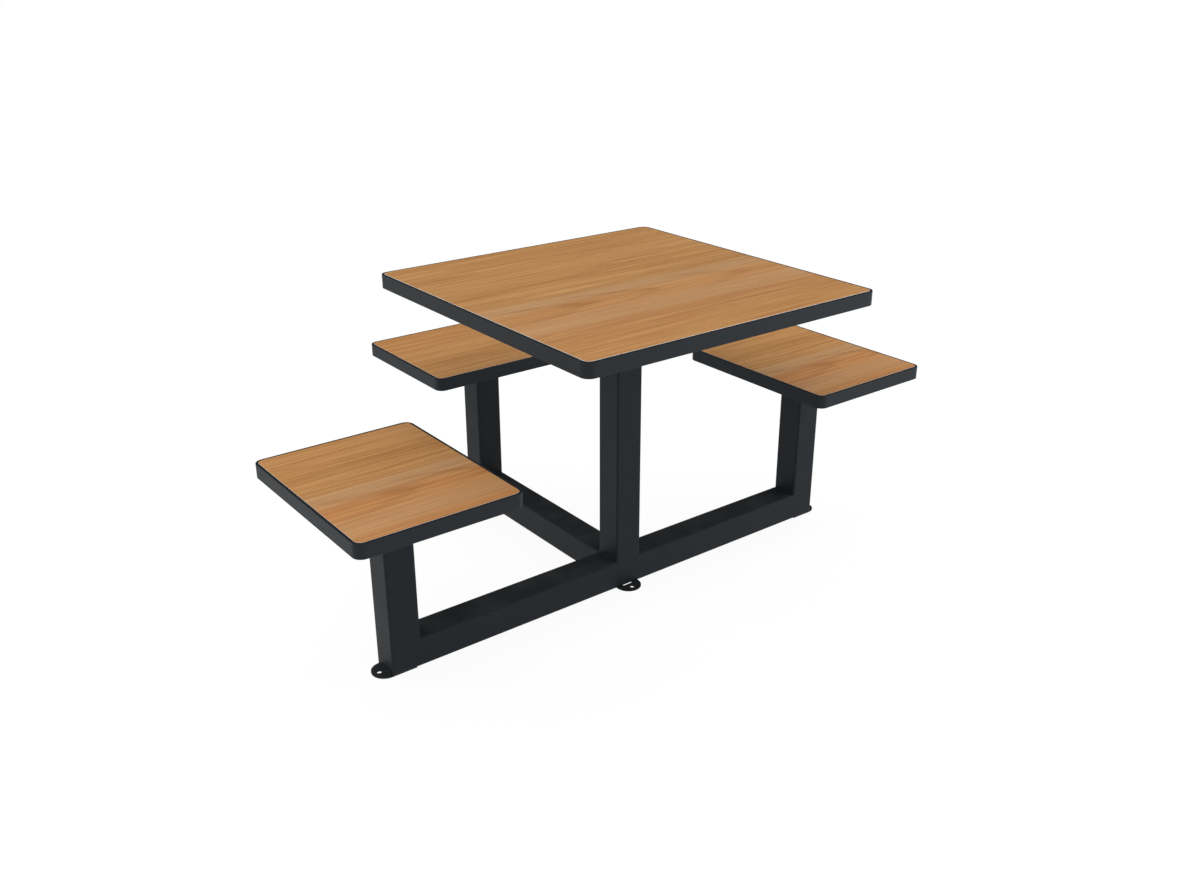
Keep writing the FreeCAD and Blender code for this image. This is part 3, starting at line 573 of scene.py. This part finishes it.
@dataclass(frozen=True)
class Finish:
    """What every finish has, whatever it is made of.

    Attributes:
        title: The material's name.
        roughness: How rough the surface is, on average.
        specular: The shader's specular level.
        swing: How far its roughness goes from one end to the other.
    """

    title: str
    roughness: float = 0.5
    specular: float = 0.5
    swing: float = 0.1

    def draw(self, sheet: Sheet, shader: bpy.types.Node) -> None:
        """Draws what feeds the shader.

        Args:
            sheet: The material's sheet.
            shader: Its Principled shader.
        """
        raise NotImplementedError

    def material(self) -> bpy.types.Material:
        """Gives the material, and draws it the first time.

        Returns:
            The material.
        """
        found = bpy.data.materials.get(self.title)
        if found:
            return found
        made = bpy.data.materials.new(self.title)
        made.use_nodes = True
        shader = made.node_tree.nodes["Principled BSDF"]
        shader.inputs["Specular IOR Level"].default_value = self.specular
        self.draw(Sheet(made.node_tree), shader)
        return made

    def rough(self, sheet: Sheet, shader: bpy.types.Node, gloss: object) -> None:
        """Sets the roughness to vary about its average.

        Args:
            sheet: The material's sheet.
            shader: Its Principled shader.
            gloss: What the roughness follows, from 0 to 1.
        """
        low = self.roughness - self.swing / 2
        sheet.feed(shader.inputs["Roughness"], sheet.math("MULTIPLY_ADD", gloss, self.swing, low))


def shades(colour: Colour, mottle: float) -> tuple[Colour, Colour]:
    """Gives a colour made darker and made lighter by a share of itself."""
    return tuple(tuple(channel * factor for channel in colour) for factor in (1 - mottle, 1 + mottle))


@dataclass(frozen=True)
class PowderCoat(Finish):
    """Satin powder coat on steel, thinner and lighter on its edges, with a trace of dust on top.

    Attributes:
        colour: The coat's colour.
        edge: Its colour where it is thin over an edge.
        dust: The dust's colour.
        peel: How wide one bump of its orange peel is, in millimetres.
        relief: How deep its orange peel is, in millimetres.
        mottle: How much its colour swings to either side.
        peel_share: How much of the lighter shade shows on the bumps of its orange peel.
        edge_share: How much of the thin colour shows on an edge.
        dust_share: How much of the dust shows.
        rubbing: How much glossier a worn edge is, where 1 is the whole swing.
    """

    colour: Colour = paint(30, 34, 38)
    edge: Colour = paint(56, 60, 64)
    dust: Colour = paint(104, 101, 97)
    peel: float = 1.3
    relief: float = 0.05
    mottle: float = 0.14
    peel_share: float = 0.22
    edge_share: float = 0.45
    dust_share: float = 0.2
    rubbing: float = 0.5
    swing: float = 0.2

    def draw(self, sheet: Sheet, shader: bpy.types.Node) -> None:
        """Draws the coat; see Finish.draw."""
        place = sheet.millimetres()
        texture = SurfaceTexture().on(sheet, place=place, cell=self.peel)
        worn = EdgeWear().on(sheet, place=place, reach=1.6, patch=16.0)["Mask"]
        dusty = Dust().on(sheet, place=place, patch=70.0)["Mask"]
        darker, lighter = shades(self.colour, self.mottle)
        coat = sheet.mix(texture["Cloud"], darker, lighter)
        coat = sheet.lay_over(coat, lighter, texture["Height"], self.peel_share)
        coat = sheet.lay_over(coat, self.edge, worn, self.edge_share)
        coat = sheet.lay_over(coat, self.dust, dusty, self.dust_share)
        sheet.feed(shader.inputs["Base Color"], coat)
        gloss = sheet.math("SUBTRACT", texture["Gloss"], sheet.math("MULTIPLY", worn, self.rubbing))
        self.rough(sheet, shader, gloss)
        sheet.feed(shader.inputs["Normal"], sheet.bump(texture["Height"], self.relief, strength=0.6))


@dataclass(frozen=True)
class WoodLaminate(Finish):
    """Wood-print laminate, with a painted highlight in pale colour on its bevelled rim and edges.

    Attributes:
        print_at: Where on the panel the print's own middle lies, in millimetres.
        top: The height of its upper face, in millimetres.
        dark: The print's darkest tone.
        middle: The print's middle tone.
        light: The print's lightest tone.
        line: The thin lines of the print's arches.
        grey: The print's grey bands.
        rose: The print's rosy bands.
        bevel_highlight: A painted highlight, the pale colour laid on its bevelled rim in place of the
            light that the rim would catch.
        highlight_share: How much of that painted highlight shows.
        rose_share: How much of the rosy colour shows in a rosy band.
        grey_share: How much of the grey shows in a grey band.
        line_share: How much of the arches' colour shows in their lines.
        edge_highlight_share: How much of the painted highlight is also laid along its edges, where the
        edge-wear mask finds them.
        rim: How far below the upper face the painted highlight is full and where it ends, in
        millimetres.
        fibre_gloss: The fibres' share of the gloss.
        fibre_relief: How much of the relief is fibres.
        pore_relief: How much of the relief is pores.
        relief: How deep the print is embossed, in millimetres.
    """

    print_at: tuple[float, float] = (0.0, 0.0)
    top: float = 745.0
    dark: Colour = paint(161, 109, 57)
    middle: Colour = paint(185, 134, 72)
    light: Colour = paint(206, 159, 97)
    line: Colour = paint(152, 101, 50)
    grey: Colour = paint(184, 146, 116)
    rose: Colour = paint(194, 131, 80)
    # Painted highlight: a pale colour on the laminate's bevelled rim, in place of light that the rim
    # catches.
    bevel_highlight: Colour = paint(245, 247, 250)
    highlight_share: float = 1.0
    rose_share: float = 0.45
    grey_share: float = 0.38
    line_share: float = 0.55
    edge_highlight_share: float = 0.4
    rim: tuple[float, float] = (0.08, 0.02)
    fibre_gloss: float = 0.4
    fibre_relief: float = 0.6
    pore_relief: float = 0.5
    relief: float = 0.03
    swing: float = 0.16

    def draw(self, sheet: Sheet, shader: bpy.types.Node) -> None:
        """Draws the laminate; see Finish.draw."""
        place = sheet.millimetres()
        moved = sheet.vector("SUBTRACT", place, (*self.print_at, 0.0))
        wood = WoodPrint().on(sheet, place=moved)
        texture = SurfaceTexture().on(sheet, place=place, cell=0.9)
        tones = [(0.0, self.dark), (0.5, self.middle), (1.0, self.light)]
        colour = sheet.ramp(wood["Tone"], tones, "LINEAR")
        colour = sheet.lay_over(colour, self.rose, wood["Rose"], self.rose_share)
        colour = sheet.lay_over(colour, self.grey, wood["Grey"], self.grey_share)
        colour = sheet.lay_over(colour, self.line, wood["Lines"], self.line_share)
        # Painted highlight: every face below the upper face, the bevelled rim and the side, takes the pale
        # colour.
        height = sheet.add("SeparateXYZ", {"Vector": place}).outputs["Z"]
        side = sheet.span(height, *(self.top - below for below in self.rim), 1.0, 0.0)
        # The edge-wear mask here lays more of the painted highlight along the edges; it paints no wear.
        worn = EdgeWear().on(sheet, place=place, reach=0.5, patch=30.0)["Mask"]
        pale = sheet.math("MAXIMUM", side, sheet.math("MULTIPLY", worn, self.edge_highlight_share))
        # The painted highlight goes over the print here.
        colour = sheet.lay_over(colour, self.bevel_highlight, pale, self.highlight_share)
        sheet.feed(shader.inputs["Base Color"], colour)
        self.rough(sheet, shader, sheet.weigh(texture["Gloss"], wood["Fibre"], self.fibre_gloss))
        fibres = sheet.math("MULTIPLY", wood["Fibre"], self.fibre_relief)
        pores = sheet.math("MULTIPLY", wood["Pores"], self.pore_relief)
        height = sheet.math("SUBTRACT", fibres, pores)
        sheet.feed(shader.inputs["Normal"], sheet.bump(height, self.relief, strength=0.5))


@dataclass(frozen=True)
class MouldedPlastic(Finish):
    """Plain plastic with a fine moulded or rolled grain, rubbed along its edges.

    Attributes:
        colour: The plastic's colour.
        rubbed: Its colour where it is rubbed.
        grain: How wide one grain of its texture is, in millimetres.
        relief: How deep the grain is, in millimetres.
        mottle: How much its colour swings to either side.
        rubbed_share: How much of the rubbed colour shows on an edge.
    """

    colour: Colour = paint(60, 62, 64)
    rubbed: Colour = paint(86, 88, 90)
    grain: float = 0.8
    relief: float = 0.03
    mottle: float = 0.1
    rubbed_share: float = 0.35
    swing: float = 0.14

    def draw(self, sheet: Sheet, shader: bpy.types.Node) -> None:
        """Draws the plastic; see Finish.draw."""
        place = sheet.millimetres()
        texture = SurfaceTexture().on(sheet, place=place, cell=self.grain)
        worn = EdgeWear().on(sheet, place=place, reach=1.0, patch=25.0)["Mask"]
        colour = sheet.mix(texture["Gloss"], *shades(self.colour, self.mottle))
        colour = sheet.lay_over(colour, self.rubbed, worn, self.rubbed_share)
        sheet.feed(shader.inputs["Base Color"], colour)
        self.rough(sheet, shader, texture["Gloss"])
        sheet.feed(shader.inputs["Normal"], sheet.bump(texture["Height"], self.relief, strength=0.6))


@dataclass(frozen=True)
class Chipboard(Finish):
    """Raw chipboard: pale flakes and dark ones pressed together, with dusty gaps.

    Attributes:
        flake: The common flakes' colour.
        pale: The palest flakes' colour.
        bark: The darkest flakes' colour.
        flakes: How many flakes there are to a millimetre along X, Y and Z.
        kinds: Up to which share the flakes are darker than common, and from which they are paler.
        gap: How far from a flake's middle a gap starts and is full, in flakes.
        gap_share: How much of the darkest colour the gaps show.
        relief: How deep the gaps are, in millimetres.
    """

    flake: Colour = paint(189, 158, 115)
    pale: Colour = paint(214, 188, 146)
    bark: Colour = paint(120, 88, 56)
    flakes: Place = (0.32, 0.24, 1.1)
    kinds: tuple[float, float] = (0.12, 0.7)
    gap: tuple[float, float] = (0.45, 0.85)
    gap_share: float = 0.4
    relief: float = 0.15

    def draw(self, sheet: Sheet, shader: bpy.types.Node) -> None:
        """Draws the board; see Finish.draw."""
        place = sheet.millimetres()
        squeezed = sheet.add("Mapping", {"Vector": place, "Scale": self.flakes}).outputs["Vector"]
        flakes = sheet.add("TexVoronoi", {"Vector": squeezed, "Scale": 1.0}, feature="F1").outputs
        kind = sheet.add("SeparateColor", {"Color": flakes["Color"]}).outputs["Red"]
        common = [(share, self.flake) for share in self.kinds]
        colour = sheet.ramp(kind, [(0.0, self.bark), *common, (1.0, self.pale)])
        gaps = sheet.span(flakes["Distance"], *self.gap, 0.0, self.gap_share)
        sheet.feed(shader.inputs["Base Color"], sheet.mix(gaps, colour, self.bark))
        self.rough(sheet, shader, kind)
        height = sheet.math("SUBTRACT", 1.0, flakes["Distance"])
        sheet.feed(shader.inputs["Normal"], sheet.bump(height, self.relief))


@dataclass(frozen=True)
class Steel(Finish):
    """Bare, oiled, blackened or plated steel with its tool marks.

    Attributes:
        colour: The metal's colour.
        stain: Its colour where it is stained or rubbed.
        stained: How much of that shows.
        relief: How deep its tool marks are, in millimetres.
        blotched: The noise's values at which a stain starts and at which it is full.
        shine: How many times brighter a rubbed edge is.
        shine_share: How much of that shows.
    """

    colour: Colour = paint(160, 160, 162)
    stain: Colour = paint(118, 114, 108)
    stained: float = 0.35
    relief: float = 0.01
    blotched: tuple[float, float] = (0.42, 0.7)
    shine: float = 1.5
    shine_share: float = 0.6
    swing: float = 0.2

    def draw(self, sheet: Sheet, shader: bpy.types.Node) -> None:
        """Draws the steel; see Finish.draw."""
        place = sheet.millimetres()
        metal = ToolMarks().on(sheet, place=place)
        worn = EdgeWear().on(sheet, place=place, reach=0.5, patch=8.0)["Mask"]
        patches = sheet.span(metal["Stain"], *self.blotched, 0.0, self.stained)
        colour = sheet.mix(patches, self.colour, self.stain)
        bright = tuple(min(1.0, channel * self.shine) for channel in self.colour)
        sheet.feed(shader.inputs["Base Color"], sheet.lay_over(colour, bright, worn, self.shine_share))
        shader.inputs["Metallic"].default_value = 1.0
        self.rough(sheet, shader, metal["Marks"])
        sheet.feed(shader.inputs["Normal"], sheet.bump(metal["Marks"], self.relief, strength=0.5))


class Stock(Enum):
    """The finishes that several pieces share; the wood laminate has one of its own for each panel."""

    POWDER = PowderCoat("satin_powder_coat", roughness=0.5, specular=0.105)
    CORE = Chipboard("raw_chipboard", roughness=0.85, specular=0.2)
    BACKING = MouldedPlastic("grey_backing", roughness=0.6, specular=0.25, colour=paint(62, 62, 64),
                             rubbed=paint(82, 82, 84), grain=1.8, relief=0.04)
    EDGING = MouldedPlastic("anthracite_edging", roughness=0.5, specular=0.13, colour=paint(34, 39, 43),
                            rubbed=paint(62, 66, 70))
    BUSH = MouldedPlastic("natural_acetal", roughness=0.42, colour=paint(229, 226, 214),
                          rubbed=paint(240, 238, 230), grain=0.6, relief=0.01)
    BRIGHT = Steel("ground_steel", roughness=0.3)
    SPRING = Steel("oiled_spring_steel", roughness=0.38, colour=paint(92, 92, 96),
                   stain=paint(66, 60, 54), stained=0.5)
    BLACK = Steel("blackened_steel", roughness=0.45, colour=paint(54, 54, 57),
                  stain=paint(84, 76, 68), stained=0.4)
    ZINC = Steel("bright_zinc", roughness=0.34, colour=paint(186, 188, 192),
                 stain=paint(150, 154, 150), stained=0.3)


# ---------------------------------------------------------------------------------------------------
# Sub-assemblies
# ---------------------------------------------------------------------------------------------------


def dress(finish: Finish, *nodes: str) -> None:
    """Gives CAD nodes a finish.

    Args:
        finish: The finish.
        nodes: The nodes' names.
    """
    for name in nodes:
        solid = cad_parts[name]
        for holder in solid.material_slots:
            holder.material = finish.material()
        log.info("%s: %s", name, finish.title)


@dataclass
class Panel:
    """A laminated board with its edging: the table's top or one seat.

    Attributes:
        prefix: What its nodes' names start with.
        print_at: Where the print's own middle lies, in millimetres.
        highlight_share: How much of the painted highlight on the laminate's bevelled rim shows.
        rose: The print's rosy bands.
    """

    prefix: str
    print_at: tuple[float, float]
    # How much painted highlight the laminate's bevelled rim takes.
    highlight_share: float = WoodLaminate.highlight_share
    rose: Colour = WoodLaminate.rose

    def dress(self) -> None:
        """Dresses the laminate, the edging, the core and the backing."""
        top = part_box(f"{self.prefix}_laminate")[1].z / MM
        wood = WoodLaminate(f"{self.prefix}_wood_print", roughness=0.46, specular=0.15, top=top,
                            print_at=self.print_at, rose=self.rose, highlight_share=self.highlight_share)
        dress(wood, f"{self.prefix}_laminate")
        dress(Stock.EDGING.value, f"{self.prefix}_edging")
        dress(Stock.CORE.value, f"{self.prefix}_board")
        dress(Stock.BACKING.value, f"{self.prefix}_backing")


@dataclass
class Weld:
    """A rippled weld bead, formed once along X at the origin and then copied to each joint.

    Attributes:
        length: The bead's length, in millimetres.
        radius: How far it stands out of the corner that it fills, in millimetres.
        pitch: How far apart its ripples are, in millimetres.
        sides: How many sides its section has.
        groove: How wide it is between two ripples, as a share of its radius.
        tip: How wide its two ends are, as a share of its radius.
    """

    length: float = 54.0
    radius: float = 2.6
    pitch: float = 2.4
    sides: int = 12
    groove: float = 0.84
    tip: float = 0.5

    def form(self) -> None:
        """Forms the bead along X with its middle at the origin."""
        bpy.ops.object.select_all(action="DESELECT")
        ripples = round(self.length / self.pitch)
        widths = [self.tip] + [1.0, self.groove] * ripples + [1.0, self.tip]
        step = self.length / len(widths) * MM
        reach = -self.length / 2 * MM
        bpy.ops.mesh.primitive_cylinder_add(
            vertices=self.sides, radius=self.radius * self.tip * MM, depth=step,
            location=(reach + step / 2, 0.0, 0.0), rotation=(0.0, math.pi / 2, 0.0))
        self.pattern = bpy.context.object
        bpy.ops.object.transform_apply(location=True, rotation=True, scale=True)
        bpy.ops.object.mode_set(mode="EDIT")
        bpy.ops.mesh.select_mode(type="FACE")
        bpy.ops.mesh.select_all(action="DESELECT")
        bpy.ops.object.mode_set(mode="OBJECT")
        for face in self.pattern.data.polygons:
            face.select = face.normal.x > 0.9
        bpy.ops.object.mode_set(mode="EDIT")
        reach += step
        for width, wider in zip(widths, widths[1:]):
            reach += step
            swell = wider / width
            bpy.ops.mesh.extrude_region_move(TRANSFORM_OT_translate={"value": (step, 0.0, 0.0)})
            bpy.ops.transform.resize(value=(1.0, swell, swell), center_override=(reach, 0.0, 0.0))
        bpy.ops.mesh.select_all(action="SELECT")
        bpy.ops.mesh.normals_make_consistent(inside=False)
        bpy.ops.object.mode_set(mode="OBJECT")
        smoothing = self.pattern.modifiers.new("round", "SUBSURF")
        smoothing.levels = smoothing.render_levels = 1
        bpy.ops.object.modifier_apply(modifier=smoothing.name)
        bpy.ops.object.shade_smooth()

    def lay(self, name: str, place: Place, turn: float = 0.0, upright: bool = False) -> None:
        """Copies the bead into a joint of the frame, with its place in its mesh.

        Args:
            name: The copy's name.
            place: Where the copy's middle goes, in millimetres.
            turn: How far the copy is turned about Z, in degrees.
            upright: Whether the copy stands on its end instead.
        """
        bpy.ops.object.select_all(action="DESELECT")
        bead = self.pattern.copy()
        bead.data = self.pattern.data.copy()
        bead.name = bead.data.name = name
        bpy.context.scene.collection.objects.link(bead)
        bead.rotation_euler = (0.0, math.pi / 2 if upright else 0.0, math.radians(turn))
        bead.location = Vector(place) * MM
        bead.select_set(True)
        bpy.context.view_layer.objects.active = bead
        bpy.ops.object.transform_apply(location=True, rotation=True, scale=True)
        bead.data.materials.clear()
        bead.data.materials.append(Stock.POWDER.value.material())
        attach(bead, "frame")
        log.info("%s: weld bead", name)

    def put_away(self) -> None:
        """Removes the bead that the copies were made from."""
        bpy.data.objects.remove(self.pattern)


@dataclass
class FloorFrame:
    """The welded steel frame on the floor, with the post and the plate that carry the table.

    Attributes:
        weld: The bead that joins its tubes.
        tube: How wide its tubes are, in millimetres.
        plate_under: The height of the table plate's underside, in millimetres.
        anchor_top: The height at which the beams lie on their anchor plates, in millimetres.
    """

    weld: Weld
    tube: float = 70.0
    plate_under: float = 707.0
    anchor_top: float = 3.0

    def join(self) -> None:
        """Lays the beads round the central post and where the two beams meet."""
        half = self.tube / 2
        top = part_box("long_beam")[1].z / MM
        for side, word in ((-half, "left"), (half, "right")):
            self.weld.lay(f"plate_weld_{word}", (side, 0.0, self.plate_under), 90.0)
            self.weld.lay(f"post_weld_{word}", (side, 0.0, top), 90.0)
            self.weld.lay(f"beam_weld_{word}", (side, half, half + self.anchor_top), upright=True)
        for side, word in ((-half, "front"), (half, "rear")):
            self.weld.lay(f"plate_weld_{word}", (0.0, side, self.plate_under))
        self.weld.lay("post_weld_rear", (0.0, half, top))

    def dress(self) -> None:
        """Dresses the frame's tubes, plates, screws and inserts."""
        dress(Stock.POWDER.value, "long_beam", "rear_beam", "central_post", "table_plate",
              "front_anchor_plate")
        dress(Stock.BLACK.value, "table_screws", "stop_screws")
        dress(Stock.ZINC.value, "table_inserts")


@dataclass
class SeatPost:
    """One seat's post with its foot plate, housing, bushes and return spring.

    Attributes:
        name: The seat's name.
        outward: Which way the post stands from the table's middle, along X and Y.
        weld: The bead that joins its foot to the beam and to the anchor plate.
        reach: How far its axis stands from the table's middle, in millimetres.
        tube: How wide its tube is, in millimetres.
    """

    name: str
    outward: tuple[int, int]
    weld: Weld
    reach: float = 600.0
    tube: float = FloorFrame.tube

    def join(self) -> None:
        """Lays the beads at the post's inner foot and on its anchor plate."""
        along = 90.0 if self.outward[0] else 0.0
        tops = (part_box("long_beam")[1].z / MM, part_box(f"{self.name}_anchor_plate")[1].z / MM)
        for word, side, height in zip(("foot", "anchor"), (-self.tube / 2, self.tube / 2), tops):
            far = self.reach + side
            place = (self.outward[0] * far, self.outward[1] * far, height)
            self.weld.lay(f"{self.name}_{word}_weld", place, along)

    def dress(self) -> None:
        """Dresses the post and what its housing holds."""
        dress(Stock.POWDER.value, f"{self.name}_post", f"{self.name}_anchor_plate")
        dress(Stock.BRIGHT.value, f"{self.name}_housing")
        dress(Stock.BUSH.value, f"{self.name}_upper_bush", f"{self.name}_lower_bush",
              f"{self.name}_thrust_washer")
        dress(Stock.SPRING.value, f"{self.name}_return_spring")


@dataclass
class SwivelSeat:
    """One swivelling seat: its panel, its plate with the spindle, and its fasteners.

    Attributes:
        name: The seat's name.
        print_at: Where the wood print's own middle lies, in millimetres.
        highlight_share: How much of the painted highlight on its laminate's bevelled rim shows.
        rose: The rosy bands of its print.
    """

    name: str
    print_at: tuple[float, float]
    # A seat's rim takes less painted highlight than the table's.
    highlight_share: float = 0.55
    rose: Colour = paint(203, 130, 76)

    def dress(self) -> None:
        """Dresses the seat's panel, plate, spindle, screws and inserts."""
        Panel(f"{self.name}_seat", self.print_at, self.highlight_share, self.rose).dress()
        dress(Stock.POWDER.value, f"{self.name}_seat_plate")
        dress(Stock.BRIGHT.value, f"{self.name}_spindle")
        dress(Stock.BLACK.value, f"{self.name}_seat_screws")
        dress(Stock.ZINC.value, f"{self.name}_seat_inserts")


# ---------------------------------------------------------------------------------------------------
# Studio and camera
# ---------------------------------------------------------------------------------------------------


@dataclass(frozen=True)
class Lamp:
    """A square soft lamp.

    Attributes:
        name: The lamp's name.
        place: Where it hangs, in metres.
        aim: What it points at, in metres.
        side: How long its side is, in metres.
        power: Its power, in watts.
    """

    name: str
    place: Place
    aim: Place
    side: float
    power: float

    def hang(self) -> None:
        """Hangs the lamp in the scene."""
        light = bpy.data.lights.new(self.name, "AREA")
        light.shape, light.size, light.energy = "SQUARE", self.side, self.power
        lamp = bpy.data.objects.new(self.name, light)
        lamp.location = self.place
        lamp.rotation_euler = (Vector(self.aim) - Vector(self.place)).to_track_quat("-Z", "Y").to_euler()
        bpy.context.scene.collection.objects.link(lamp)


@dataclass
class Studio:
    """A white room with a pale floor, soft lamps and a dim ceiling.

    Attributes:
        floor_side: How long the floor's side is, in metres.
        sink: How far the floor lies below the table's feet, in metres.
        shadow: How much of the floor's own shading is seen.
        fill: How strong the room's own light is.
        ceiling: How bright the ceiling looks in a reflection.
        horizon: How steeply a reflected ray climbs before it shows the ceiling alone.
        white: How bright the floor looks where no shadow lies on it.
        floor_colour: The floor's own colour.
        lamps: The soft lamps.
    """

    floor_side: float = 90.0
    sink: float = 0.0002
    shadow: float = 0.10
    fill: float = 0.87
    ceiling: float = 0.04
    horizon: float = 0.16
    white: float = 1.03
    floor_colour: Colour = paint(245, 245, 245)
    lamps: tuple[Lamp, ...] = (
        Lamp("overhead", (-0.6, 0.0, 3.2), (0.0, 0.0, 0.6), 2.6, 8.0),
        Lamp("left_back", (-2.3, 2.6, 2.3), (0.0, 0.0, 0.5), 2.0, 26.0),
        Lamp("right_front", (3.0, -1.8, 1.1), (0.3, 0.0, 0.3), 1.4, 39.0),
    )

    def white_share(self, sheet: Sheet) -> bpy.types.NodeSocket:
        """Gives 1 for the rays that show the background: camera, glossy and transmission rays."""
        path = sheet.add("LightPath").outputs
        glossy = sheet.math("MAXIMUM", path["Is Camera Ray"], path["Is Glossy Ray"])
        return sheet.math("MAXIMUM", glossy, path["Is Transmission Ray"])

    def lay_floor(self) -> None:
        """Lays the floor: pale and plain, white where it is seen, with the table's faint shadow."""
        bpy.ops.object.select_all(action="DESELECT")
        bpy.ops.mesh.primitive_plane_add(size=self.floor_side, location=(0.0, 0.0, -self.sink))
        floor = bpy.context.object
        floor.name = floor.data.name = "floor"
        bpy.ops.object.transform_apply(location=True, rotation=True, scale=True)
        made = bpy.data.materials.new("floor")
        made.use_nodes = True
        made.cycles.emission_sampling = "NONE"
        sheet = Sheet(made.node_tree)
        sheet.tree.nodes.clear()
        plain = sheet.add("BsdfDiffuse", {"Color": self.floor_colour})
        white = sheet.add("Emission", {"Color": (1.0, 1.0, 1.0), "Strength": self.white})
        share = sheet.math("MULTIPLY", self.white_share(sheet), 1 - self.shadow)
        seen = sheet.add("MixShader")
        for socket, value in zip(seen.inputs, (share, plain.outputs[0], white.outputs[0])):
            sheet.feed(socket, value)
        sheet.add("OutputMaterial", {"Surface": seen.outputs[0]})
        floor.data.materials.append(made)

    def fill_room(self) -> None:
        """Sets the room's own light, and what shows of the room behind the table and in its gloss."""
        world = bpy.data.worlds.new("room")
        world.use_nodes = True
        bpy.context.scene.world = world
        sheet = Sheet(world.node_tree)
        sheet.tree.nodes.clear()
        soft = sheet.add("Background", {"Color": (1.0, 1.0, 1.0), "Strength": self.fill})
        path = sheet.add("LightPath").outputs
        direction = sheet.add("TexCoord").outputs["Generated"]
        rise = sheet.add("SeparateXYZ", {"Vector": direction}).outputs["Z"]
        dimmed = sheet.span(rise, 0.0, self.horizon, 1.0, self.ceiling)
        strength = sheet.math("MAXIMUM", dimmed, path["Is Camera Ray"])
        seen = sheet.add("Background", {"Color": (1.0, 1.0, 1.0), "Strength": strength})
        room = sheet.add("MixShader")
        shown = (self.white_share(sheet), soft.outputs[0], seen.outputs[0])
        for socket, value in zip(room.inputs, shown):
            sheet.feed(socket, value)
        sheet.add("OutputWorld", {"Surface": room.outputs[0]})

    def build(self) -> None:
        """Lays the floor, fills the room and hangs the lamps."""
        self.lay_floor()
        self.fill_room()
        for lamp in self.lamps:
            lamp.hang()
        bpy.context.scene.view_settings.view_transform = "Standard"


@dataclass(frozen=True)
class Viewpoint:
    """The camera that looks down on the table past its front left seat.

    Attributes:
        place: Where it stands, in metres.
        tilt: How far it is raised from looking straight down, in degrees.
        heading: How far it is turned from +Y towards -X, in degrees.
        lens: Its focal length, in millimetres.
        sensor: How wide its sensor is, in millimetres.
        sight: How far it sees, in metres.
    """

    place: Place = (-1.5534, -1.9369, 1.4270)
    tilt: float = 66.90
    heading: float = -37.656
    lens: float = 35.03
    sensor: float = 36.0
    sight: float = 200.0

    def build(self) -> None:
        """Sets the camera up and makes it the scene's own."""
        data = bpy.data.cameras.new("camera")
        data.lens, data.sensor_width, data.clip_end = self.lens, self.sensor, self.sight
        camera = bpy.data.objects.new("camera", data)
        camera.location = self.place
        camera.rotation_euler = (math.radians(self.tilt), 0.0, math.radians(self.heading))
        bpy.context.scene.collection.objects.link(camera)
        bpy.context.scene.camera = camera


def main() -> None:
    """Builds and dresses the table's sub-assemblies in order, then the studio and the camera."""
    logging.basicConfig(level=logging.INFO, format="%(name)s %(message)s")
    weld = Weld()
    weld.form()
    floor_frame = FloorFrame(weld)
    floor_frame.join()
    floor_frame.dress()
    Panel("table", (0.0, 0.0)).dress()
    seats = (
        ("left", (-1, 0), (-421.0, 5.0)),
        ("right", (1, 0), (783.0, 8.0)),
        ("rear", (0, 1), (0.0, 435.0)),
    )
    for name, outward, print_at in seats:
        post = SeatPost(name, outward, weld)
        post.join()
        post.dress()
        SwivelSeat(name, print_at).dress()
    weld.put_away()
    Studio().build()
    Viewpoint().build()


if __name__ == "__main__":
    main()
